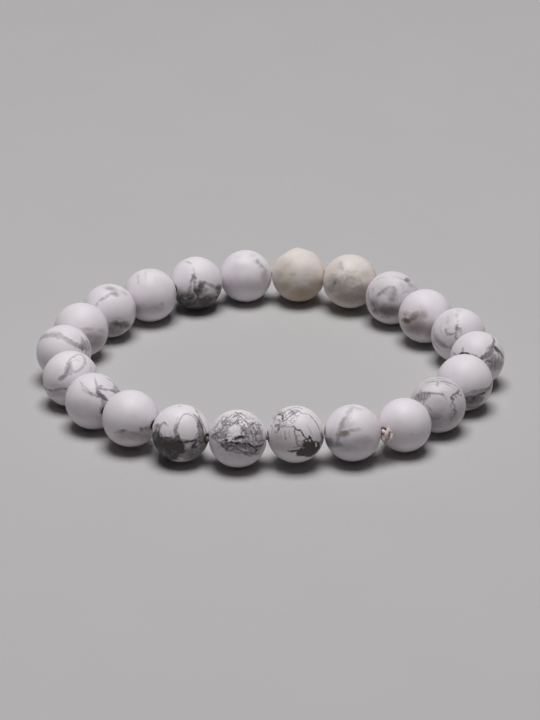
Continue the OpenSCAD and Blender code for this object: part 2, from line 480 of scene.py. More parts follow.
CHARTS: dict[int, Chart] = {
    1: Chart(
        veins=((6, 16, 44, 62, 56, 44, 76, 24),),
        greys=(
            (47, 54, 14, 13, -40, 46), (63, 36, 15, 11, -50, 30), (74, 16, 12, 24, -10, 20),
            (28, 78, 16, 8, 0, 16), (-30, 74, 20, 10, 20, 8),
        ),
        stains_and_shade=(
            (-20, 36, 44, 22, 0, 14), (20, -34, 70, 30, 0, 16), (72, 6, 20, 38, -10, 34),
            (58, 40, 16, 16, 0, 22),
        ),
        blur=0.35,
    ),
    2: Chart(
        greys=(
            (-12, 6, 30, 20, 20, 8), (-40, 50, 50, 30, 0, 8), (40, 10, 40, 30, 0, 8),
            (-60, 10, 20, 40, 0, 12), (-34, -14, 40, 10, 0, 10), (34, -18, 34, 8, 6, 10),
        ),
        # The wide stains low on the bead, round 10, -70 and -50, -50 and 60, -36, are partly its warm brown
        # and partly painted shade on its underside.
        stains_and_shade=(
            (0, 10, 130, 100, 0, 14), (-22, 4, 24, 18, 0, 38), (30, 0, 24, 14, 0, 26),
            (-72, 2, 24, 26, 0, 34), (64, 14, 24, 20, 0, 14), (-50, -50, 60, 44, 0, 50),
            (10, -70, 100, 50, 0, 80), (-46, 34, 36, 24, 30, 20), (60, -36, 44, 30, 0, 44),
            (-2, 66, 26, 18, 20, 16), (-8, -28, 34, 12, -10, 30),
        ),
        clears=(
            (38, 50, 36, 30, 20, 84), (-4, 34, 14, 28, 0, 44), (50, -8, 16, 8, 0, 30),
            (-44, -10, 14, 8, 0, 30),
        ),
        blur=0.45,
    ),
    3: Chart(
        veins=(
            (6, 22, -34, 74, -32, 60, -24, 42), (6, 24, -58, -6, -44, 10, -24, 12),
            (6, 18, -24, -10, -4, 16, 20, 8), (6, 16, -70, 30, -60, 22, -44, 30),
            (5, 14, 34, 12, 44, -10, 50, -34), (5, 14, -10, 40, 10, 30, 26, 36),
        ),
        greys=(
            (-55, -8, 18, 15, 0, 92), (-64, -18, 22, 16, 0, 70), (-50, -4, 50, 30, -20, 56),
            (-70, -30, 24, 24, 0, 50), (-16, 10, 46, 22, 8, 46), (-10, -14, 50, 26, 0, 50),
            (36, -30, 54, 30, 0, 60), (0, -60, 90, 36, 0, 64), (-34, 56, 20, 26, 20, 22),
            (18, 4, 28, 20, 0, 36), (-14, 30, 14, 14, 0, 16),
        ),
        stains_and_shade=(
            (58, 24, 30, 28, 0, 30), (56, 4, 40, 24, 0, 18), (-36, -32, 30, 14, 0, 40),
            (-10, -64, 70, 30, 0, 20), (24, 46, 50, 24, 0, 12), (70, -10, 24, 32, 0, 20),
        ),
        clears=((-28, 14, 20, 10, 14, 50), (4, -18, 18, 9, -10, 44), (-40, 40, 14, 12, 0, 26)),
        blur=0.3,
    ),
    4: Chart(
        veins=(
            (8, 42, -52, 10, -40, 20, -26, 26), (7, 34, -28, 25, -16, 36, -2, 40),
            (8, 34, -2, 40, 12, 36, 11, 22), (8, 22, 11, 22, 4, 6, 0, -10), (5, 18, 12, 20, 22, 6, 18, -12),
            (5, 18, 30, 52, 42, 44, 40, 28), (5, 20, 11, 80, 40, 70, 75, 42),
            (6, 32, -88, 36, -88, 4, -78, -30), (6, 38, -74, -10, -70, -36, -56, -60),
            (5, 16, -70, 40, -74, 16, -66, -8), (5, 18, -60, 66, -30, 78, 10, 76),
            (5, 20, 36, 18, 52, 26, 66, 22),
        ),
        greys=(
            (0, 0, 140, 140, 0, 26), (-66, -24, 30, 36, 10, 60), (34, 6, 24, 20, 0, 30),
            (0, -20, 40, 16, 0, 36), (57, 67, 18, 13, -30, 80), (70, 46, 20, 15, -30, 44),
            (60, 30, 20, 12, 0, 28), (2, 30, 16, 12, 0, 38), (-58, 6, 20, 20, 0, 42),
            (-72, 30, 12, 14, 0, 26), (0, -6, 18, 30, 0, 20), (-12, -52, 90, 36, 0, 78),
            (-30, -34, 36, 12, 0, 34), (-70, -30, 22, 36, 20, 46), (-62, -50, 20, 16, 0, 76),
            (40, -30, 30, 26, 0, 50), (-36, 60, 30, 10, 30, 20), (30, 56, 24, 12, -30, 24),
        ),
        stains_and_shade=(
            (-60, -30, 26, 20, 0, 30), (-20, -42, 70, 26, 0, 60), (2, 10, 22, 34, 0, 34),
            (-16, 26, 40, 18, 0, 20),
        ),
        clears=((-28, -2, 17, 15, 0, 56), (-30, 80, 40, 6, 6, 50), (18, 56, 18, 14, 0, 24)),
        blur=0.3,
    ),
    5: Chart(
        veins=((6, 20, -84, -8, -60, -10, -36, -6),),
        greys=(
            (-64, -17, 28, 14, 0, 40), (-30, -24, 30, 16, 0, 20), (-74, 8, 18, 16, 0, 26),
            (-30, -56, 90, 40, 0, 34), (-38, 0, 26, 20, 20, 14),
        ),
        stains_and_shade=(
            (-67, -17, 32, 18, 0, 100), (-40, -4, 32, 26, 20, 74), (-14, 2, 28, 30, 0, 50),
            (-74, 8, 18, 14, 0, 26), (-40, -40, 70, 34, 0, 60), (-14, 28, 24, 18, 0, 14),
            (30, -50, 70, 36, 0, 34),
        ),
        blur=0.35,
    ),
    6: Chart(
        veins=(
            (6, 46, -6, 42, -4, 32, -3, 22), (5, 42, -3, 24, -12, 12, -8, 0),
            (5, 38, -8, 0, -10, -8, -6, -16), (6, 44, -44, 25, -46, 14, -42, 6),
            (6, 44, -44, 8, -36, 2, -26, 2), (6, 40, -28, 2, -18, 2, -10, 6), (5, 30, 2, 30, 10, 18, 8, 2),
            (7, 14, -4, 42, -2, 60, -6, 82), (6, 14, -40, 70, -37, 56, -40, 40),
            (6, 24, -88, 26, -90, 4, -84, -16), (8, 20, -84, -6, -70, -30, -30, -44),
            (6, 26, -92, -18, -84, -36, -70, -50), (5, 22, -50, -36, -36, -46, -20, -52),
            (4, 16, -62, 46, -66, 26, -62, 4), (5, 22, -6, 90, 4, 91, 14, 90),
        ),
        greys=(
            (0, 0, 100, 100, 0, 8), (-30, 62, 50, 24, 20, 18), (-4, 22, 15, 15, 0, 62), (-8, 8, 9, 11, 0, 30),
            (-62, -28, 38, 14, -36, 54), (-82, -10, 14, 26, 14, 28), (-30, 4, 18, 8, 0, 26),
            (-10, -8, 8, 8, 0, 34), (-20, -40, 24, 14, 0, 26), (-38, 24, 7, 9, 0, 20),
        ),
        blur=0.25,
    ),
    7: Chart(
        veins=(
            (5, 92, -66, 15, -48, 19, -28, 15), (4, 44, -88, 20, -78, 14, -66, 12),
            (5, 44, -52, 38, -54, 28, -53, 19), (4, 40, -24, 14, -12, 12, 2, 8),
            (7, 56, 56, 80, 60, 62, 57, 46), (7, 62, 58, 48, 74, 32, 94, 6), (5, 44, 60, 48, 74, 34, 78, 16),
            (5, 30, 78, 16, 80, 0, 74, -18), (5, 44, 4, 6, 12, 0, 22, -4), (5, 48, 28, -12, 40, -7, 50, -14),
            (5, 34, 54, 2, 52, -16, 50, -36), (5, 30, 66, 4, 66, -16, 64, -36),
            (5, 30, 88, 12, 91, -8, 86, -26), (5, 28, 12, 2, 30, 20, 44, 44),
        ),
        greys=(
            (0, 0, 100, 100, 0, 8), (-48, 17, 18, 4, 0, 80), (34, 10, 30, 13, 32, 76),
            (52, 28, 11, 26, -4, 62), (52, 6, 24, 16, 0, 60), (71, 34, 18, 8, -48, 84),
            (40, -12, 14, 5, 0, 60), (70, -22, 28, 28, 0, 54), (44, -34, 14, 18, 0, 44),
        ),
        stains_and_shade=((38, 12, 30, 13, 34, 40), (54, 32, 10, 16, 12, 34), (50, -20, 20, 14, 0, 16)),
        clears=((38, -16, 7, 4, 0, 70),),
    ),
    8: Chart(
        veins=(
            (6, 44, 97, -4, 90, -18, 70, -22), (6, 38, 72, -21, 48, -24, 20, -35),
            (5, 24, 20, -35, 4, -40, -12, -46), (6, 60, 76, -32, 58, -40, 40, -46),
            (6, 50, 44, -44, 34, -50, 30, -60),
        ),
        greys=(
            (48, -42, 42, 13, 16, 56), (30, -62, 48, 22, 8, 92), (50, -50, 22, 9, 16, 60),
            (30, -80, 40, 14, 0, 70), (84, -24, 14, 9, 40, 40), (0, -60, 30, 18, 0, 44),
        ),
    ),
    9: Chart(
        veins=(
            (4, 34, -52, 80, -34, 88, -14, 91), (4, 34, -14, 91, 6, 94, 30, 92),
            (5, 38, -44, 77, -20, 82, 4, 81), (5, 38, 4, 81, 30, 82, 54, 74), (5, 38, 54, 74, 68, 66, 76, 56),
            (4, 30, -6, 86, 14, 86, 36, 82), (5, 40, -3, 80, -4, 72, -8, 65), (4, 28, 30, 74, 44, 66, 60, 56),
            (4, 30, 76, 56, 84, 44, 86, 30), (5, 34, -62, 52, -54, 46, -38, 40),
            (5, 46, -40, 40, -24, 44, -6, 42), (5, 46, -8, 42, 8, 40, 24, 33),
            (4, 34, 22, 34, 26, 28, 31, 18), (4, 34, -48, 24, -46, 14, -50, 2),
            (5, 30, -72, 40, -62, 30, -54, 20), (6, 60, 78, 54, 70, 44, 58, 34),
            (5, 72, 60, 36, 52, 30, 47, 21), (5, 44, 70, 42, 76, 34, 84, 33), (5, 40, 58, 34, 62, 26, 70, 25),
            (5, 66, 46, 22, 52, 24, 57, 14), (4, 46, 57, 16, 50, 6, 56, -2), (4, 40, 56, 0, 63, -6, 56, -14),
            (4, 42, 56, -13, 60, -20, 65, -25), (4, 36, 65, -25, 56, -34, 58, -42),
            (4, 30, 58, -40, 48, -46, 46, -56), (4, 22, 48, 4, 44, -4, 46, -12),
            (5, 30, -42, 0, -31, -12, -20, -22), (4, 44, -68, 44, -65, 32, -67, 20),
            (4, 44, -58, 47, -56, 30, -60, 13), (4, 44, -48, 44, -46, 28, -50, 12),
            (4, 40, -38, 42, -37, 30, -40, 16), (4, 30, -28, 40, -28, 32, -30, 24),
        ),
        greys=(
            (0, 10, 140, 130, 0, 28), (-52, 33, 40, 20, 12, 64), (-34, 40, 24, 8, 0, 70),
            (-66, 24, 20, 22, 0, 60), (-14, 42, 18, 5, 0, 46), (-5, 70, 7, 6, 0, 60),
            (58, -10, 12, 32, -6, 20), (60, 30, 14, 9, 40, 30), (50, 21, 5, 5, 0, 76), (62, -18, 4, 6, 0, 56),
            (0, 0, 60, 40, 0, 34), (0, -60, 80, 30, 0, 40),
        ),
        stains_and_shade=((54, -40, 22, 22, 0, 26), (-8, -40, 28, 16, 0, 30)),
        clears=((6, 60, 60, 12, 0, 40),),
    ),
    10: Chart(
        greys=((-40, 10, 40, 20, 0, 5),),
        stains_and_shade=((28, -34, 8, 5, 0, 20), (46, -36, 6, 5, 0, 14)),
    ),
    11: Chart(
        veins=(
            (5, 14, -12, 93, 6, 90, 30, 84), (10, 20, 0, 90, -14, 76, -24, 54),
            (9, 24, -22, 58, -36, 36, -43, 12), (9, 26, -43, 14, -50, -10, -55, -38),
            (5, 14, -4, 60, -18, 36, -26, 12), (5, 20, -96, -18, -84, -18, -66, -24),
        ),
        greys=(
            (-14, 66, 14, 34, -22, 10), (-34, 30, 15, 36, -22, 14), (-48, -10, 14, 34, -10, 20),
            (-54, -36, 14, 14, 0, 34), (-86, -36, 40, 20, -10, 84), (-54, -42, 34, 16, 0, 54),
            (10, 86, 40, 8, -10, 18), (0, -50, 100, 40, 0, 16),
        ),
        stains_and_shade=(
            (-26, 0, 26, 11, 10, 84), (-8, 8, 30, 8, 14, 50), (16, 12, 20, 7, 0, 30),
            (-34, -6, 24, 12, 0, 60), (-34, 26, 16, 34, -22, 34), (-10, 30, 26, 18, 30, 20),
            (40, -24, 44, 22, 0, 24), (-20, -50, 50, 20, 0, 20),
        ),
        blur=0.25,
    ),
    12: Chart(
        veins=(
            (3.4, 66, -32, 82, -16, 90, 0, 93), (3.4, 54, 0, 93, 16, 92, 26, 87),
            (3.4, 54, -14, 84, 2, 86, 16, 81), (3.4, 54, -38, 72, -26, 84, -14, 84),
            (3.4, 60, -62, 69, -48, 68, -36, 77), (3.4, 46, -64, 77, -54, 78, -44, 70),
            (4, 74, -48, 68, -43, 60, -46, 50), (3.4, 64, -46, 50, -34, 49, -22, 58),
            (3.4, 60, -22, 58, -14, 68, -2, 72), (3.4, 54, -2, 72, -10, 80, -16, 85),
            (3.4, 50, -2, 72, 10, 82, 22, 74), (3.4, 40, -2, 70, 6, 62, 13, 67),
            (3.4, 50, -60, 52, -50, 46, -38, 46), (3.4, 40, -82, 60, -74, 56, -66, 52),
            (3.4, 54, 20, 73, 44, 68, 62, 54), (3.4, 58, 62, 54, 76, 32, 86, 6),
            (4, 64, 86, 6, 92, -8, 94, -22), (3.4, 54, -72, 26, -62, 34, -56, 28),
            (3.4, 54, -62, 16, -54, 24, -58, 32), (3.4, 50, -74, 8, -62, 10, -56, 20),
            (3.4, 44, -50, 25, -44, 32, -36, 30), (3.4, 40, -58, 46, -54, 38, -50, 34),
            (4, 54, -98, -2, -93, -12, -90, -32), (3.4, 50, -30, 27, -20, 25, -8, 26),
            (3.2, 80, -10, 27, 4, 16, 20, 10), (3.2, 84, 20, 10, 27, -2, 33, -14),
            (3.2, 88, 33, -14, 42, -20, 53, -13), (3.4, 58, -6, 20, 0, 0, 4, -22),
            (3.4, 38, -37, 12, -38, -4, -33, -16), (3.4, 86, 26, -24, 36, -18, 44, -24),
            (4, 86, 46, -6, 52, -14, 55, -24), (3.4, 76, 28, -22, 31, -32, 25, -42),
            (3.4, 64, 76, -26, 86, -34, 80, -52), (4, 64, 94, -4, 97, -16, 96, -30),
            (3.4, 76, -26, -58, -8, -56, 10, -53), (3.4, 54, 4, -24, 9, -38, 22, -44),
            (3.4, 34, -88, 32, -80, 22, -84, 8), (4, 14, -64, 10, -60, -4, -61, -18),
            (4, 14, -49, 6, -52, -4, -50, -14), (4, 20, -22, 14, -24, 2, -20, -12),
            (4, 12, -72, 0, -70, -10, -66, -20), (3.4, 30, 4, -22, 16, -26, 28, -24),
            (3.4, 40, -4, -2, 8, -6, 20, -2), (3.4, 40, 14, -34, 6, -44, -10, -46),
            (3.4, 30, 40, 30, 52, 12, 60, -8),
        ),
        greys=(
            (48, -42, 26, 18, 0, 130), (28, -60, 30, 15, 10, 130), (52, -60, 30, 18, 30, 130),
            (70, -42, 18, 14, 0, 125), (62, -29, 18, 6, 0, 115), (30, -36, 14, 9, 0, 70),
            (-10, -57, 26, 5, 4, 80), (-60, 69, 8, 5, 0, 60), (-62, 28, 8, 7, 0, 50), (-58, 23, 4, 6, 0, 70),
            (-8, 78, 20, 6, 10, 40), (92, -14, 6, 26, 0, 70), (-50, 30, 30, 5, -8, 30),
        ),
        stains_and_shade=((-36, 0, 60, 34, 0, 20), (-30, -40, 60, 24, 0, 22)),
        clears=((72, -36, 6, 8, 0, 86), (34, -25, 4, 4, 0, 60)),
        rings=((72, -36, 7, 9, 0, 84, 3), (38, -26, 5, 4, 0, 80, 3)),
        web=(-42, 58, 52, 34, 0, 66),
    ),
    13: Chart(
        veins=(
            (5, 66, -10, 92, 2, 86, 14, 88), (4, 54, -2, 90, -4, 80, -14, 73), (4, 56, 2, 84, 16, 68, 30, 54),
            (4, 44, 12, 86, 24, 76, 36, 70), (4, 50, -46, 80, -56, 66, -64, 56),
            (4, 46, -64, 56, -70, 44, -80, 34), (4, 46, -60, 60, -40, 62, -16, 56),
            (4, 44, -30, 66, -26, 54, -30, 46), (4, 48, -52, 50, -36, 47, -18, 48),
            (5, 52, -48, 48, -50, 36, -60, 26), (4, 56, -60, 26, -70, 20, -86, 12),
            (4, 48, -40, 50, -38, 34, -34, 18), (5, 66, 8, 44, 16, 34, 24, 26),
            (4, 56, 24, 26, 30, 38, 37, 37), (5, 52, 24, 26, 26, 12, 22, 0), (4, 48, 36, 36, 46, 50, 58, 53),
            (4, 46, 56, 52, 66, 46, 82, 46), (4, 46, 50, 40, 60, 20, 62, -2), (4, 44, 72, 38, 80, 16, 84, -2),
            (4, 48, 42, 26, 52, 10, 50, -10), (6, 92, -12, -1, 4, 2, 23, 6), (5, 76, 22, 6, 12, -3, 15, -15),
            (5, 80, -38, -1, -44, -10, -40, -18), (5, 76, -40, -18, -32, -12, -22, -14),
            (5, 86, -30, -14, -10, -14, 10, -20), (5, 80, 10, -20, 28, -14, 52, -25),
            (4, 66, -34, -22, -20, -27, -8, -24), (5, 76, -58, -18, -48, -30, -34, -37),
            (5, 76, -54, -22, -44, -20, -36, -27), (5, 66, -46, -36, -30, -41, -12, -36),
            (5, 66, -12, -38, 8, -40, 20, -46), (5, 66, 20, -46, 36, -46, 52, -52),
            (5, 76, 50, -52, 60, -46, 64, -34), (5, 76, 60, -26, 70, -24, 86, -22),
            (4, 66, 50, -26, 60, -32, 66, -46), (4, 50, 60, -6, 74, -8, 92, -4),
            (4, 50, 84, -22, 92, -10, 97, 6), (4, 50, -92, 10, -78, 4, -66, 8),
            (4, 50, -66, 8, -56, 2, -44, 4), (4, 46, -78, -2, -64, -14, -50, -16),
            (4, 44, -84, 30, -74, 26, -70, 10), (4, 44, -30, 44, -10, 46, 4, 52),
            (4, 40, -24, 76, -36, 70, -44, 58), (4, 44, -62, 26, -52, 18, -50, 2),
            (5, 50, 10, -42, 26, -52, 40, -60), (5, 46, 56, -52, 66, -54, 76, -46),
            (4, 40, -20, -40, -8, -48, 8, -50),
        ),
        greys=(
            (-60, 16, 28, 20, 20, 40), (36, 12, 24, 30, 0, 46), (72, 8, 22, 36, 0, 42),
            (0, -26, 62, 12, 0, 70), (60, -34, 34, 18, 20, 66), (-46, -22, 18, 12, 0, 62),
            (18, 32, 9, 14, -30, 70), (-2, 74, 14, 7, 0, 50), (-24, 56, 36, 16, 0, 30), (4, 1, 16, 5, 10, 80),
            (-82, 6, 12, 16, 0, 44), (50, 46, 24, 12, -20, 34), (36, -50, 46, 14, -8, 40),
            (0, -60, 80, 24, 0, 20),
        ),
        stains_and_shade=((34, 20, 14, 16, 0, 20), (-66, -22, 14, 20, 0, 16)),
        clears=((-10, 27, 20, 23, 0, 80), (-4, -7, 16, 4, 0, 60), (-18, 6, 10, 7, 0, 60)),
        web=(0, 22, 96, 72, 0, 90),
    ),
    14: Chart(
        veins=(
            (5, 56, -74, 7, -72, 22, -66, 34), (5, 62, -66, 34, -58, 37, -50, 28),
            (4, 46, -74, 24, -66, 26, -60, 31), (4, 40, -50, 28, -45, 24, -42, 20),
            (5, 58, -74, 8, -68, 0, -62, -8), (5, 50, -62, -8, -52, -14, -40, -18),
            (5, 46, -42, -18, -32, -14, -24, -10), (5, 95, 2, -31, 26, -29, 54, -21),
            (4, 56, 44, 65, 60, 50, 66, 30), (5, 66, 66, 36, 74, 16, 78, -6), (4, 50, 44, 85, 60, 64, 72, 40),
            (4, 46, 72, 40, 82, 20, 86, -2), (4, 34, 46, 89, 58, 77, 66, 66),
            (5, 44, -12, 92, -7, 93, -2, 92), (5, 76, 53, -20, 50, -34, 40, -48),
            (5, 64, 40, -48, 54, -46, 64, -38), (4, 56, 62, -26, 66, -34, 78, -30),
            (5, 60, -98, 34, -99, 20, -96, 4), (5, 60, 8, -56, 14, -62, 4, -70),
            (7, 50, -86, 0, -84, 14, -76, 30), (5, 46, -90, 20, -80, 30, -70, 22),
            (5, 26, -24, -2, -20, 16, -18, 34), (4, 16, -18, 30, -16, 46, -8, 58),
            (4, 60, -56, -8, -50, -2, -52, 6), (4, 60, -38, -10, -34, -2, -38, 4),
        ),
        greys=(
            (-44, -44, 56, 30, -6, 125), (-86, -20, 20, 30, -16, 110), (-6, -48, 19, 30, 0, 130),
            (-50, -74, 52, 22, -6, 115), (-78, -50, 26, 34, -20, 120), (-12, -20, 13, 14, 0, 110),
            (-58, -24, 20, 14, 0, 120), (-80, 8, 16, 22, -10, 54), (-17, -4, 6, 24, -6, 44),
            (66, 18, 12, 44, 10, 84), (72, -12, 15, 30, 8, 90), (60, -46, 44, 34, 10, 78),
            (52, -28, 10, 14, 0, 84), (30, -72, 54, 26, 0, 90), (92, -24, 10, 26, 10, 84),
            (30, -46, 34, 26, 0, 60), (76, -60, 34, 26, 0, 80),
        ),
        stains_and_shade=((-17, 8, 7, 32, -6, 44), (90, -20, 8, 20, 0, 30)),
        clears=(
            (25, 20, 33, 44, 0, 97), (-47, 6, 23, 20, 0, 92), (-34, -6, 16, 9, 0, 80),
            (28, -42, 14, 8, 0, 50), (60, -40, 6, 7, 0, 44),
        ),
        rings=((24, 19, 36, 47, 0, 60, 5),),
    ),
    15: Chart(
        veins=((5, 18, -40, -42, -28, -40, -14, -46), (5, 18, 30, -34, 46, -38, 60, -34)),
        greys=(
            (37, -37, 10, 12, 10, 60), (52, -33, 10, 7, 20, 36), (-29, -42, 9, 9, 0, 76),
            (-34, -50, 16, 6, -10, 36), (70, -30, 12, 10, 0, 44), (8, -48, 18, 6, 0, 26),
            (-54, -46, 12, 6, 10, 26), (22, -52, 20, 7, 0, 30), (90, -10, 10, 20, 0, 24),
        ),
        stains_and_shade=(
            (-28, -46, 34, 10, 0, 38), (58, -38, 30, 14, 10, 38), (10, 6, 20, 12, 0, 8),
            # The last stain, a wide brown band along the bottom, is painted shade.
            (4, -62, 84, 22, 0, 40),
        ),
        blur=0.25,
    ),
    16: Chart(
        veins=(
            (5, 26, 3, 84, 6, 66, 8, 48), (6, 40, 8, 50, 9, 36, 6, 22), (5, 26, -50, 69, -26, 43, -4, 23),
            (6, 38, -16, 32, -2, 21, 12, 16), (5, 20, -44, 44, -28, 34, -12, 24),
            (7, 48, 2, 20, 14, 16, 28, 10), (8, 60, 10, 36, 24, 22, 40, 8), (6, 52, 28, 18, 40, 8, 52, -2),
            (5, 48, 10, 44, 22, 43, 38, 41), (5, 50, 34, 41, 54, 38, 76, 35), (5, 26, 11, 50, 20, 53, 32, 51),
            (5, 34, 46, 80, 66, 68, 78, 52), (5, 40, 78, 52, 85, 42, 86, 30), (5, 40, 70, 36, 80, 34, 90, 36),
        ),
        greys=(
            (22, 17, 16, 8, -34, 70), (34, 10, 14, 6, -30, 60), (20, 47, 16, 6, 0, 30),
            # The last two greys, at 35, -8 and 31, -34, are painted shade in the crevice against the
            # fifteenth bead.
            (76, 42, 9, 16, 25, 46), (12, 32, 7, 10, 0, 44), (35, -8, 10, 20, 6, 32), (31, -34, 9, 24, 4, 22),
        ),
        stains_and_shade=(
            # The first two stains warm that painted crevice shade with brown.
            (35, -8, 12, 20, 6, 34), (30, -36, 10, 24, 4, 40), (-10, 24, 16, 6, -34, 34),
            (-40, -10, 40, 20, 0, 10), (6, 60, 6, 16, 0, 14),
        ),
        clears=((45, 27, 15, 7, -18, 70),),
    ),
    17: Chart(
        veins=(
            (6, 28, -6, 58, 4, 74, 20, 82), (6, 28, 18, 82, 34, 86, 48, 78), (6, 28, 46, 79, 53, 64, 45, 46),
            (6, 28, 46, 48, 36, 34, 20, 25), (6, 28, 22, 26, 12, 25, 4, 34),
            (9, 34, -5, 58, -11, 42, -16, 24), (8, 34, -14, 28, -22, 12, -40, 0),
            (6, 30, 2, 62, 4, 46, 3, 32), (6, 28, 4, 36, 4, 22, -8, 14), (4, 16, 10, 62, 20, 68, 32, 62),
            (5, 18, 70, 58, 73, 44, 71, 28), (4, 16, 84, 48, 86, 36, 84, 24),
            (5, 40, -14, -35, -28, -33, -44, -39), (5, 42, -42, -38, -62, -42, -84, -37),
            (4, 40, -82, -37, -90, -35, -97, -31),
        ),
        greys=(
            (-8, 38, 8, 22, -12, 30), (-22, 10, 16, 9, 34, 30), (-38, 2, 14, 9, 20, 18),
            (-56, -54, 40, 15, 0, 30), (-30, -38, 22, 7, 0, 24),
        ),
        stains_and_shade=((-8, 34, 10, 24, -12, 24), (-24, 8, 18, 10, 30, 16), (-46, -24, 30, 10, 0, 12)),
    ),
    18: Chart(
        veins=(
            (11, 28, -96, 40, -78, 56, -54, 62), (11, 30, -58, 61, -32, 65, -6, 54),
            (10, 32, -10, 56, 12, 44, 36, 30), (10, 36, 32, 33, 52, 23, 72, 13),
            (4, 18, -58, 71, -30, 73, -4, 64), (4, 22, -4, 50, 20, 38, 50, 18),
            (6, 38, 62, 54, 72, 42, 78, 26), (6, 40, 70, 40, 80, 20, 80, 0), (5, 30, 76, 50, 86, 32, 90, 8),
            (5, 30, 84, 44, 92, 26, 94, 6), (5, 34, 58, 30, 66, 18, 66, 2),
        ),
        greys=(
            (70, 26, 12, 22, 10, 40), (84, 24, 9, 26, 8, 40), (66, 14, 12, 10, 0, 34),
            (-80, 52, 14, 8, 20, 14),
        ),
        stains_and_shade=((64, 18, 14, 16, 0, 34), (28, 38, 34, 9, -32, 22), (-50, 62, 44, 9, 4, 14)),
        clears=((-52, 60, 5, 4, 0, 60),),
    ),
    19: Chart(
        greys=(
            (30, 2, 34, 11, 0, 16), (70, -2, 30, 12, 8, 14), (34, -26, 30, 12, 0, 22),
            (60, -40, 50, 30, 0, 30),
        ),
        stains_and_shade=(
            (44, -26, 60, 26, -10, 40), (52, -56, 60, 34, 0, 44), (26, 0, 36, 12, -6, 26),
            (74, -6, 30, 14, 8, 20), (0, -50, 60, 24, 0, 16),
        ),
        blur=0.35,
    ),
    20: Chart(
        veins=(
            (8, 12, -19, 89, 16, 84, 44, 68), (6, 22, 26, 66, 12, 62, -4, 58),
            (6, 20, -2, 59, -16, 50, -32, 42), (5, 18, -30, 43, -40, 34, -48, 24),
        ),
        greys=(
            (18, 63, 20, 10, -10, 34), (28, 58, 8, 8, 0, 26), (-28, 42, 16, 8, 26, 30),
            (-46, 24, 8, 9, 0, 30), (4, 80, 34, 12, -16, 32), (-6, 54, 20, 8, 24, 22),
            (56, 66, 22, 8, -30, 24), (34, -32, 34, 14, 0, 30), (46, -54, 64, 22, -4, 96),
            (20, -72, 70, 30, 0, 80), (96, 0, 10, 30, 0, 34),
        ),
        stains_and_shade=(
            (2, 84, 32, 11, -10, 30), (22, 64, 26, 11, -10, 24), (-20, 46, 20, 9, 30, 16),
            (40, -48, 50, 16, 0, 30),
        ),
        blur=0.3,
    ),
    21: Chart(
        veins=(
            (6, 22, -46, 78, -43, 60, -42, 42), (6, 13, -16, 92, -16, 78, -14, 60),
            (5, 10, 22, 66, 24, 56, 22, 46),
        ),
        greys=((42, -34, 13, 9, 0, 36), (10, -56, 60, 22, 0, 26), (-30, -40, 30, 14, 0, 12)),
        stains_and_shade=(
            (-54, -56, 36, 24, 0, 40), (96, 8, 12, 30, 0, 30), (30, -46, 40, 16, 0, 16),
            (0, 40, 60, 30, 0, 5),
        ),
        blur=0.3,
    ),
    22: Chart(
        veins=(
            (7, 30, -42, 81, -30, 76, -16, 68), (6, 26, -10, 58, -8, 44, -8, 30),
            (8, 50, -10, 34, -14, 16, -18, 0), (7, 46, -18, 4, -22, -14, -26, -34),
            (7, 50, -7, 30, -4, 12, -5, -8), (7, 50, -5, -4, -4, -20, -2, -38), (8, 50, 8, 4, 24, 3, 40, -3),
            (8, 54, 38, -2, 56, -8, 74, -16), (7, 50, 74, -16, 84, -18, 92, -16),
        ),
        # The wide greys over the lower half, such as 0, -92 and 30, -78, are partly the stone's dark patch
        # and partly painted shade on its underside.
        greys=(
            (-9, 24, 11, 16, 0, 70), (20, -12, 18, 18, 0, 105), (-54, -72, 76, 48, 16, 112),
            (-24, -60, 34, 44, 0, 105), (30, -78, 86, 52, 0, 118), (84, -58, 58, 44, 20, 112),
            (0, -92, 130, 56, 0, 118), (88, -22, 26, 24, 0, 90), (8, -36, 28, 30, 0, 105),
            (-70, -40, 34, 28, 0, 50), (34, -28, 30, 18, 0, 60), (60, -50, 20, 14, 0, 80),
        ),
        clears=(
            (46, -15, 18, 7, -24, 76), (54, -33, 15, 10, 10, 80), (-12, -18, 5, 24, 4, 50),
            (20, -52, 10, 8, 0, 40), (-40, -56, 12, 9, 0, 34), (-2, -50, 6, 16, 0, 30),
            (76, -44, 9, 7, 0, 40),
        ),
        blur=0.4,
    ),
}


